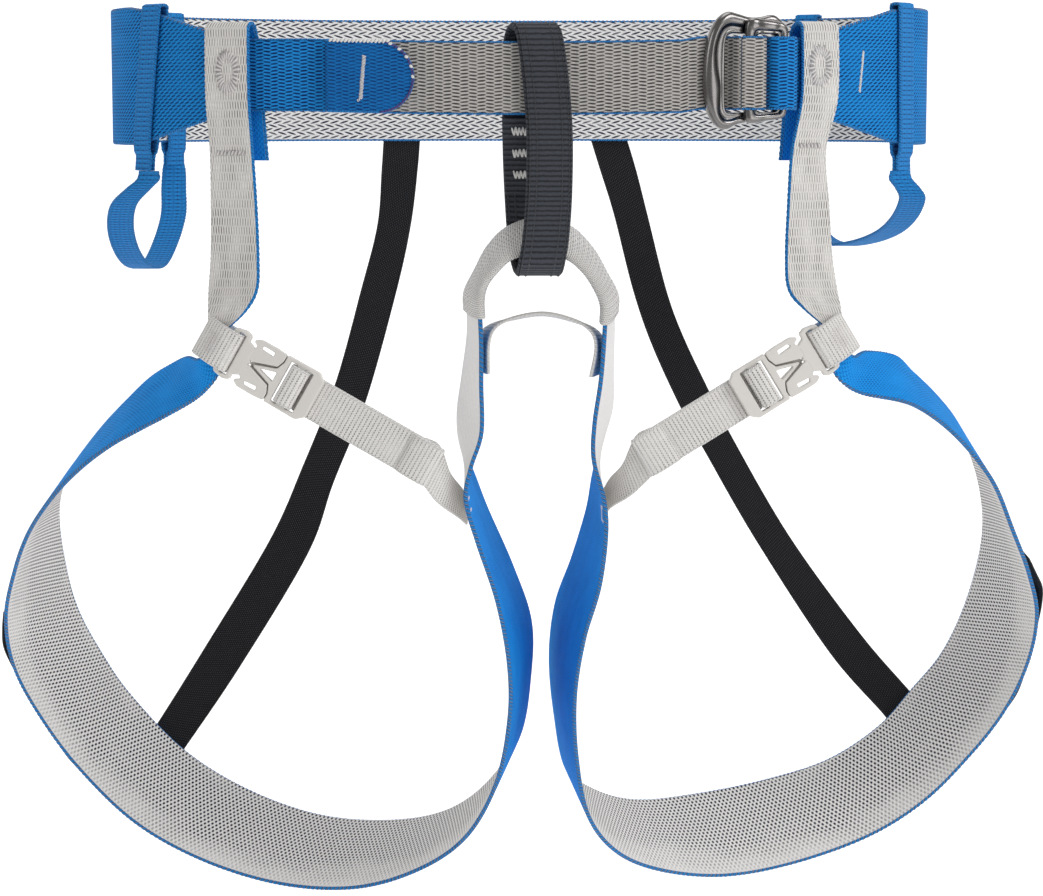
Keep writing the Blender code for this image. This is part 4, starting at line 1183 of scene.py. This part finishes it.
def build_riser(side):
    if side == "left":
        rows = wrap_rows(-111, -93.5, 4.0, -3.2, 17.6) + list(LEFT_RISER_ROWS)
        faces, grey = ("grey_riser", "blue_leg"), 1
    else:
        rows = wrap_rows(113, 98, -4.0, -5.1, 17.8) + list(RIGHT_RISER_ROWS)
        faces, grey = ("blue_leg", "grey_riser"), -1
    riser = Ribbon(smooth(rows, 10), RISER_THICKNESS, step=0.5)
    riser.build(side + "_riser_webbing", *faces, "edge_grey", ripple=0.12, second_edge="edge_blue",
                replaces=[side + "_riser"], slot="grey_webbing")
    over = 52.0
    wide = riser.width(over + 20)
    centre, inner, outer = (over + 15.5, wide * 0.52), np.array([4.1, 2.1]), np.array([7.7, 5.0])
    light = oval_bartack(riser, centre, inner, outer, 26, grey)
    # The dark set of stitches lies between and under the light ones: painted shade in the gaps between raised
    # stitches.
    dark = oval_bartack(riser, centre, inner * 1.05, outer * 0.97, 26, grey, 0.5)
    line = over + 43.5
    light += bartack(riser, (line, 3.2), (line, wide - 3.2), 1.7, 1.3, grey)
    dark += bartack(riser, (line, 3.0), (line, wide - 3.0), 2.2, 0.9, grey)
    thread_mesh(side + "_riser_bartacks", light, 0.42, "grey_thread")
    thread_mesh(side + "_riser_tack_gap_shade", dark, 0.3, "gap_shade_thread")


def build_leg_loop(side):
    left = side == "left"
    loop = Ribbon(smooth(LEFT_LEG_ROWS if left else RIGHT_LEG_ROWS, 10), LEG_LOOP_THICKNESS, step=0.6)
    faces = ("grey_leg", "blue_leg") if left else ("blue_leg", "grey_leg")
    loop.build(side + "_thigh_webbing", *faces, "edge_mixed", ripple=0.15, second_edge="edge_blue",
               replaces=[side + "_leg_loop"], slot="grey_webbing")
    at = nearest(loop, (-18, -72, -152) if left else (28, -68, -156))
    # Each mark: where it starts and ends along and across the webbing, and its width and pitch.
    marks = (((-3.0, 1.6), (-3.0, 4.6), 1.2, 0.5), ((2.0, 1.6), (2.0, 4.6), 1.2, 0.5)) if left else (
        ((-3.2, 4.8), (3.2, 4.8), 1.0, 0.45), ((-3.2, 1.8), (-3.2, 4.8), 1.0, 0.45),
        ((3.2, 1.8), (3.2, 4.8), 1.0, 0.45))
    tack = []
    for (u0, v0), (u1, v1), wide, pitch in marks:
        tack += bartack(loop, (at + u0, v0), (at + u1, v1), wide, pitch, -1 if left else 1)
    thread_mesh(side + "_loop_bartack", tack, FINE_THREAD, "grey_thread")
    return loop


def build_screw_holder(side, loop):
    """The elastic band on the outer face of a leg loop, which stands off in two bights."""
    left = side == "left"
    curve = smooth(LEFT_LEG_ROWS if left else RIGHT_LEG_ROWS, 10)
    lengths = distances((curve[:, :3] + curve[:, 3:]) / 2)
    start = 10.0 if left else 8.8
    made = []
    for i, lift in enumerate((2.1, 3.2, 4.3, 3.2, 2.1, 2.1, 2.1, 3.0, 3.9, 3.0, 2.1)):
        u = float(np.interp((start + i * 0.36) * 10, np.arange(len(lengths)), lengths))
        made.append(np.concatenate([
            loop.at(u, loop.width(u) * share, -1 if left else 1, lift - LEG_LOOP_THICKNESS / 2)[0]
            for share in (0.06, 0.42)]))
    band = Ribbon(smooth(made, 8), ELASTIC_THICKNESS, step=0.8)
    band.build(side + "_elastic_band", "elastic", "elastic", "elastic", replaces=[side + "_screw_holder"],
               slot="black_elastic")


def build_elastic(side):
    rows = LEFT_ELASTIC_ROWS if side == "left" else RIGHT_ELASTIC_ROWS
    first = rows[0]
    out = BELT_THICKNESS + GAP + ELASTIC_THICKNESS / 2 + 0.4
    slope = (rows[1][0] - first[0]) / (rows[1][2] - first[2])
    belt_end = []
    for height in (-10, -22):
        for x in (first[0], first[3]):
            x += slope * (height - first[2])
            shape = 1 - abs(x / WAIST_HALF_WIDTH) ** WAIST_SQUARENESS
            belt_end += [x, WAIST_HALF_DEPTH * shape ** (1 / WAIST_SQUARENESS) + out, height]
    band = Ribbon(smooth([belt_end[:6], belt_end[6:], *rows], 10), ELASTIC_THICKNESS, step=1.0)
    band.build(side + "_rear_band", "elastic", "elastic", "elastic", replaces=[side + "_rear_elastic"],
               slot="black_elastic")
    tack = []
    for face in (1, -1):
        tack += bartack(band, (3.0, 2.0), (3.0, band.width() - 2.0), 1.6, 0.6, face)
    thread_mesh(side + "_rear_band_bartack", tack, FINE_THREAD, "charcoal_thread")


# ---- leg buckles and straps


def flipped(corners, sign):
    return [(x, y * sign) for x, y in rounded(corners)]


def build_leg_buckle(side):
    place, half = LEG_BUCKLES[side], BUCKLE_BODY_HALF_THICKNESS

    def moulded(name, outline, holes, low, high, body, bevel, replaces=()):
        plate(side + name, outline, holes, place, low, high, "plastic", body, bevel, replaces=replaces)

    upper = [(7.4, 0, 0.2), (6.2, 1.6, 0.2), (6.2, 5.2, 0.6), (3.4, 6.6, 0.8), (3.6, 8.6, 1.2),
             (1.2, 9.5, 1.5), (-3.4, 8.6, 1.6)]
    moulded("_male_half", mirrored(upper), [box_outline(-1.0, 1.6, -7.8, 7.8, 0.4)], -half, half, "harness",
            0.5, replaces=[side + "_buckle_male"])

    arm = [(5.4, 0.9, 0.3), (7.6, 0.9, 0.3), (16.2, 3.7, 0.8), (17.3, 6.4, 1.0), (17.3, 9.1, 0.8),
           (12.8, 9.4, 3.0), (7.0, 9.3, 2.0), (4.4, 7.8, 0.6), (6.9, 6.4, 0.5), (5.4, 5.0, 0.3)]
    hole = [(8.2, 6.4, 0.3), (13.2, 6.0, 0.4), (13.2, 7.6, 0.4), (8.8, 7.7, 0.3)]
    for sign, name in ((1, "upper"), (-1, "lower")):
        moulded(f"_{name}_arm", flipped(arm, sign), [flipped(hole, sign)], -1.0, half - 0.06,
                f"{side}_{name}_prong", 0.35, replaces=[f"{side}_prong_{name}"])

    nose = [(7.9, 0, 0.4), (16.4, 3.1, 0.8), (17.7, 6.2, 0.8), (17.7, 9.2, 0.6), (30.5, 9.3, 2.0),
            (33.2, 7.0, 1.8)]
    holes = [mirrored([(10.6, 0, 0.3), (17.0, 1.9, 0.4)]), box_outline(19.6, 22.2, -7.8, 7.8, 0.5),
             box_outline(25.4, 28.6, -7.8, 7.8, 0.5)]
    moulded("_female_half", mirrored(nose), holes, -half, half, side + "_release", 0.45,
            replaces=[side + "_buckle_female"])
    lip = [(7.0, 0, 0.4), (7.8, 1.4, 0.4), (16.0, 4.5, 0.8), (16.6, 8.6, 0.6), (18.6, 8.6, 0.6)]
    moulded("_female_lip", mirrored(lip), [mirrored([(10.8, 0, 0.2), (17.0, 1.7, 0.3)])], -half, -1.15,
            side + "_release", 0.12)


def strap_piece(name, rows, body, replaces):
    """A piece of the leg strap's pale webbing through rows."""
    strap = Ribbon(smooth(rows, 8), LEG_STRAP_THICKNESS, step=0.5)
    strap.build(name, *PALE_FACES, body, replaces=replaces, slot="pale_webbing")


def build_leg_strap(side):
    place = LEG_BUCKLES[side]
    reach = STRAP_REACH[side]
    thickness = LEG_STRAP_THICKNESS
    level = BUCKLE_BODY_HALF_THICKNESS + GAP + thickness / 2
    body = side + "_release"

    collar = ((-2.2, 2.6), (-6, 1.9), (-10, -0.8), (-12.8, -3.4), (-13.1, -6.4), (-11.5, -9.0), (-6, -9.6),
              (-1, -8.6), (0.5, -6), (0.7, -2.5), (0.6, 0.6), (-0.2, 2.2))
    rows = closed_smooth(place.rows(collar, LEG_STRAP_HALF_WIDTH), 8)
    band = Ribbon(rows, thickness, step=0.4, closed=True)
    band.build(side + "_collar", *PALE_FACES, replaces=[side + "_hip_collar"], slot="pale_webbing")
    out_side = 1 if band.at(2.0, 5.0)[1] @ place.axes[2] > 0 else -1
    stitches = []
    for k, u in enumerate((3.4, 4.6, 5.8, 7.0, 8.2)):
        odd = k % 2
        stitches += bartack(band, (u, 3.2 + 0.4 * odd), (u, 11.6 - 0.5 * odd), 1.1, 0.85, out_side)
    thread_mesh(side + "_collar_stitches", stitches, 0.18, "grey_thread")

    under = -level - thickness - GAP
    above = -level + thickness + GAP
    through = ((reach, under), (54, under), (34, under), (28, under), (24.4, -3.4), (22, -2.5), (21, -1.2),
               (20.9, 0.4), (21.2, 1.9), (22.8, 2.75), (25.6, 2.6), (27.1, 0.9))
    tail = ((28.2, -2.25), (30, -level), (54, -level), (reach + 2.5, -level))
    stop = ((reach - 9, above), (reach - 7, above + 1.1), (reach - 3, above + 1.7),
            (reach + 0.6, above + 1.2), (reach + 2.4, above - 0.2))
    for name, path, replaced in (("_strap_webbing", through, "_leg_strap"),
                                 ("_strap_tail", tail, "_leg_strap_tail"),
                                 ("_strap_end_stop", stop, "_strap_stop")):
        strap_piece(side + name, place.rows(path, LEG_STRAP_HALF_WIDTH), body, [side + replaced])


def build_strap_anchor(side):
    reach = STRAP_REACH[side]
    level = BUCKLE_BODY_HALF_THICKNESS + 3 * GAP + 2.5 * LEG_STRAP_THICKNESS + 1.0
    rows = LEG_BUCKLES[side].rows([(reach - 6, -level), (reach, -level)], LEG_STRAP_HALF_WIDTH)
    if side == "left":
        rows += [(-29, -80, -150.0, -24.5, -79.5, -139), (-21.8, -69, -157, -20.8, -68, -146),
                 (-19.2, -62, -160.5, -18.7, -62, -151)]
    else:
        rows += [(40.0, -80, -147, 36.5, -79.5, -136), (33.2, -69, -153, 33.0, -68, -142),
                 (31.0, -62, -156.5, 30.6, -62, -147)]
    anchor = Ribbon(smooth(rows, 10), LEG_STRAP_THICKNESS, step=0.5)
    anchor.build(side + "_anchor_webbing", *PALE_FACES, replaces=[side + "_strap_anchor"],
                 slot="pale_webbing")


# ---- front


def build_bridge():
    bridge = Ribbon(smooth(BRIDGE_ROWS, 8), LEG_LOOP_THICKNESS, step=0.8)
    bridge.build("bridge_webbing", "grey_bridge", "blue_leg", "edge_mixed", replaces=["leg_loop_bridge"],
                 slot="grey_webbing")
    cross = Ribbon(smooth(CROSS_STRAP_ROWS, 8), 1.2, step=0.6)
    cross.build("cross_strap", *PALE_FACES, replaces=["bridge_cross_strap"], slot="pale_webbing")
    build_sleeve()


def build_sleeve():
    """The knitted tube over the bridge, an oval shell with open ends."""
    line = Ribbon(smooth(SLEEVE_ROWS, 10), 0.0, step=0.6)
    sides, wall, girth = 28, 0.9, 52.0
    room_across, room_out, squareness = 1.6, 1.55, 0.75
    half = np.linalg.norm(line.second - line.first, axis=1) / 2 + room_across
    count = len(line.u)
    points, faces, uvs = [], [], []
    for i in range(count):
        across = unit(line.second[i] - line.first[i])
        puff = 0.14 * math.sin(2 * math.pi * line.u[i] / 1.2)
        for grow in (wall + puff, 0.0):
            for angle in np.arange(sides) * 2 * math.pi / sides:
                c, s = math.cos(angle), math.sin(angle)
                x = (half[i] + grow) * math.copysign(abs(c) ** squareness, c)
                y = (room_out + grow) * math.copysign(abs(s) ** squareness, s)
                points.append(line.middle[i] + across * x + line.normal[i] * y)
    for i in range(count - 1):
        for layer, order in ((0, -1), (sides, 1)):
            here = 2 * sides * i + layer
            for k, quad in enumerate(ring_faces(here, here + 2 * sides, sides)):
                a, b = k * girth / sides, (k + 1) * girth / sides
                place = [(line.u[i], a), (line.u[i], b), (line.u[i + 1], b), (line.u[i + 1], a)]
                faces.append(quad[::order])
                uvs += place[::order]
    for start, order in ((0, 1), (2 * sides * (count - 1), -1)):
        faces += [quad[::order] for quad in ring_faces(start, start + sides, sides)]
        uvs += [(0.0, 0.0)] * 4 * sides
    mesh_object("bridge_tube", points, faces, ["sleeve"], "harness", uvs, sharp=60,
                replaces=["bridge_sleeve"])


def level_rows(path, wide):
    """Rows with this vector to each side of every point of a path."""
    return [np.concatenate([p - wide, p + wide]) for p in np.asarray(path, float)]


def build_belay():
    wide = np.array([BELAY_HALF_WIDTH, 0, 0])
    charcoal = ("charcoal", "charcoal", "charcoal", "belay")
    path = ((5, -94.9, 16.4), (7, -98.9, 12.5), (9, -99.4, -2), (10.3, -100.5, -20), (10.1, -105, -40),
            (9, -111.4, -54.6), (7.6, -111.5, -63.3), (6.6, -101, -67.2), (5.4, -89.2, -65.9),
            (4.0, -84.2, -59.4), (3, -85.6, -46), (2.2, -89.6, -28), (2, -91.1, -10), (2.2, -91.1, 8),
            (3.2, -91.6, 14.5))
    loop = Ribbon(closed_smooth(level_rows(path, wide), 10), BELAY_THICKNESS, step=0.45, closed=True)
    loop.build("belay_webbing", *charcoal, replaces=["belay_loop"], slot="charcoal_webbing")
    stitches = []
    for v in (1.3, 3.7, 12.4, 14.8):
        for side in (1, -1):
            stitches += seam(loop, (0, v), (loop.length, v), side, 1.5, 0.3)
    thread_mesh("belay_seams", stitches, FINE_THREAD, "charcoal_thread", "belay")

    path = ((2.0, -93.4, -14.8), (2.3, -92.2, -26), (3, -89.4, -41))
    overlap = Ribbon(smooth(level_rows(path, wide), 8), 1.4, step=0.45)
    overlap.build("belay_overlap", *charcoal, replaces=["belay_loop_overlap"], slot="charcoal_webbing")
    stitches = []
    for u in (4.5, 12.0, 19.5):
        for side in (1, -1):
            stitches += zigzag(overlap, u, 3.4, 13.0, 3.0, 15, side)
    thread_mesh("belay_bartacks", stitches, 0.36, "white_thread", "belay")


# ---- gear loops


def gear_webbing(name, rows, body):
    webbing = Ribbon(rows, GEAR_WEBBING_THICKNESS, step=0.5)
    replaced = name.removesuffix("_band").removesuffix("_webbing")
    webbing.build(name, "gear", "gear", "edge_blue", body, columns=5, band=0.7, ripple=0.1,
                  ripple_pitch=1.6, replaces=[replaced], slot="blue_webbing")


def build_gear_holder(name, along, slant):
    """A band sewn round the belt, with a two-layer tab below it."""
    half = belt_half_height(abs(along) + GEAR_WEBBING_HALF_WIDTH)
    thick = GEAR_WEBBING_THICKNESS
    inner = -HOLDER_GAP - thick / 2
    outer = BELT_THICKNESS + HOLDER_GAP + thick / 2
    middle = (inner + outer) / 2
    pinch = (thick + GAP) / 2
    path = ((middle - pinch, -33.5), (middle - pinch, -half - 4.5), (inner, -half), (inner, 0),
            (inner, half - 1.8), (inner + 0.4, half + 0.6), (middle, half + 1.0), (outer - 0.4, half + 0.6),
            (outer, half - 1.8), (outer, 0), (outer, -half), (middle + pinch, -half - 4.5),
            (middle + pinch, -33.5))
    rows = []
    for out, z in path:
        s = along + slant * z
        rows.append((s - GEAR_WEBBING_HALF_WIDTH, out, z, s + GEAR_WEBBING_HALF_WIDTH, out, z))
    gear_webbing(name + "_band", smooth(waist_rows(rows), 8), "harness")


def build_gear_loop(side, centres, turn):
    rows = []
    for i, centre in enumerate(np.asarray(centres, float)):
        share = 2 * i / (len(centres) - 1) - 1
        angle = math.radians(turn * share * abs(share))
        wide = np.array([math.cos(angle), math.sin(angle), 0]) * GEAR_WEBBING_HALF_WIDTH
        rows += level_rows([centre], wide)
    gear_webbing(side + "_gear_loop_webbing", smooth(rows, 10), side + "_gear")


def build_gear():
    for name, along, slant in (("left_gear_holder_front", -139.5, 0.14), ("left_gear_holder_rear", -255, 0),
                               ("right_gear_holder_front", 148.5, -0.03), ("right_gear_holder_rear", 284, 0)):
        build_gear_holder(name, along, slant)
    build_gear_loop("left", LEFT_GEAR_ROWS, 40)
    build_gear_loop("right", RIGHT_GEAR_ROWS, -40)


def main():
    build_stage()
    build_materials()
    build_belt()
    build_straps()
    build_waist_buckle()
    build_bridge()
    build_belay()
    build_gear()
    for side in ("left", "right"):
        build_riser(side)
        build_screw_holder(side, build_leg_loop(side))
        build_elastic(side)
        build_leg_buckle(side)
        build_leg_strap(side)
        build_strap_anchor(side)


main()
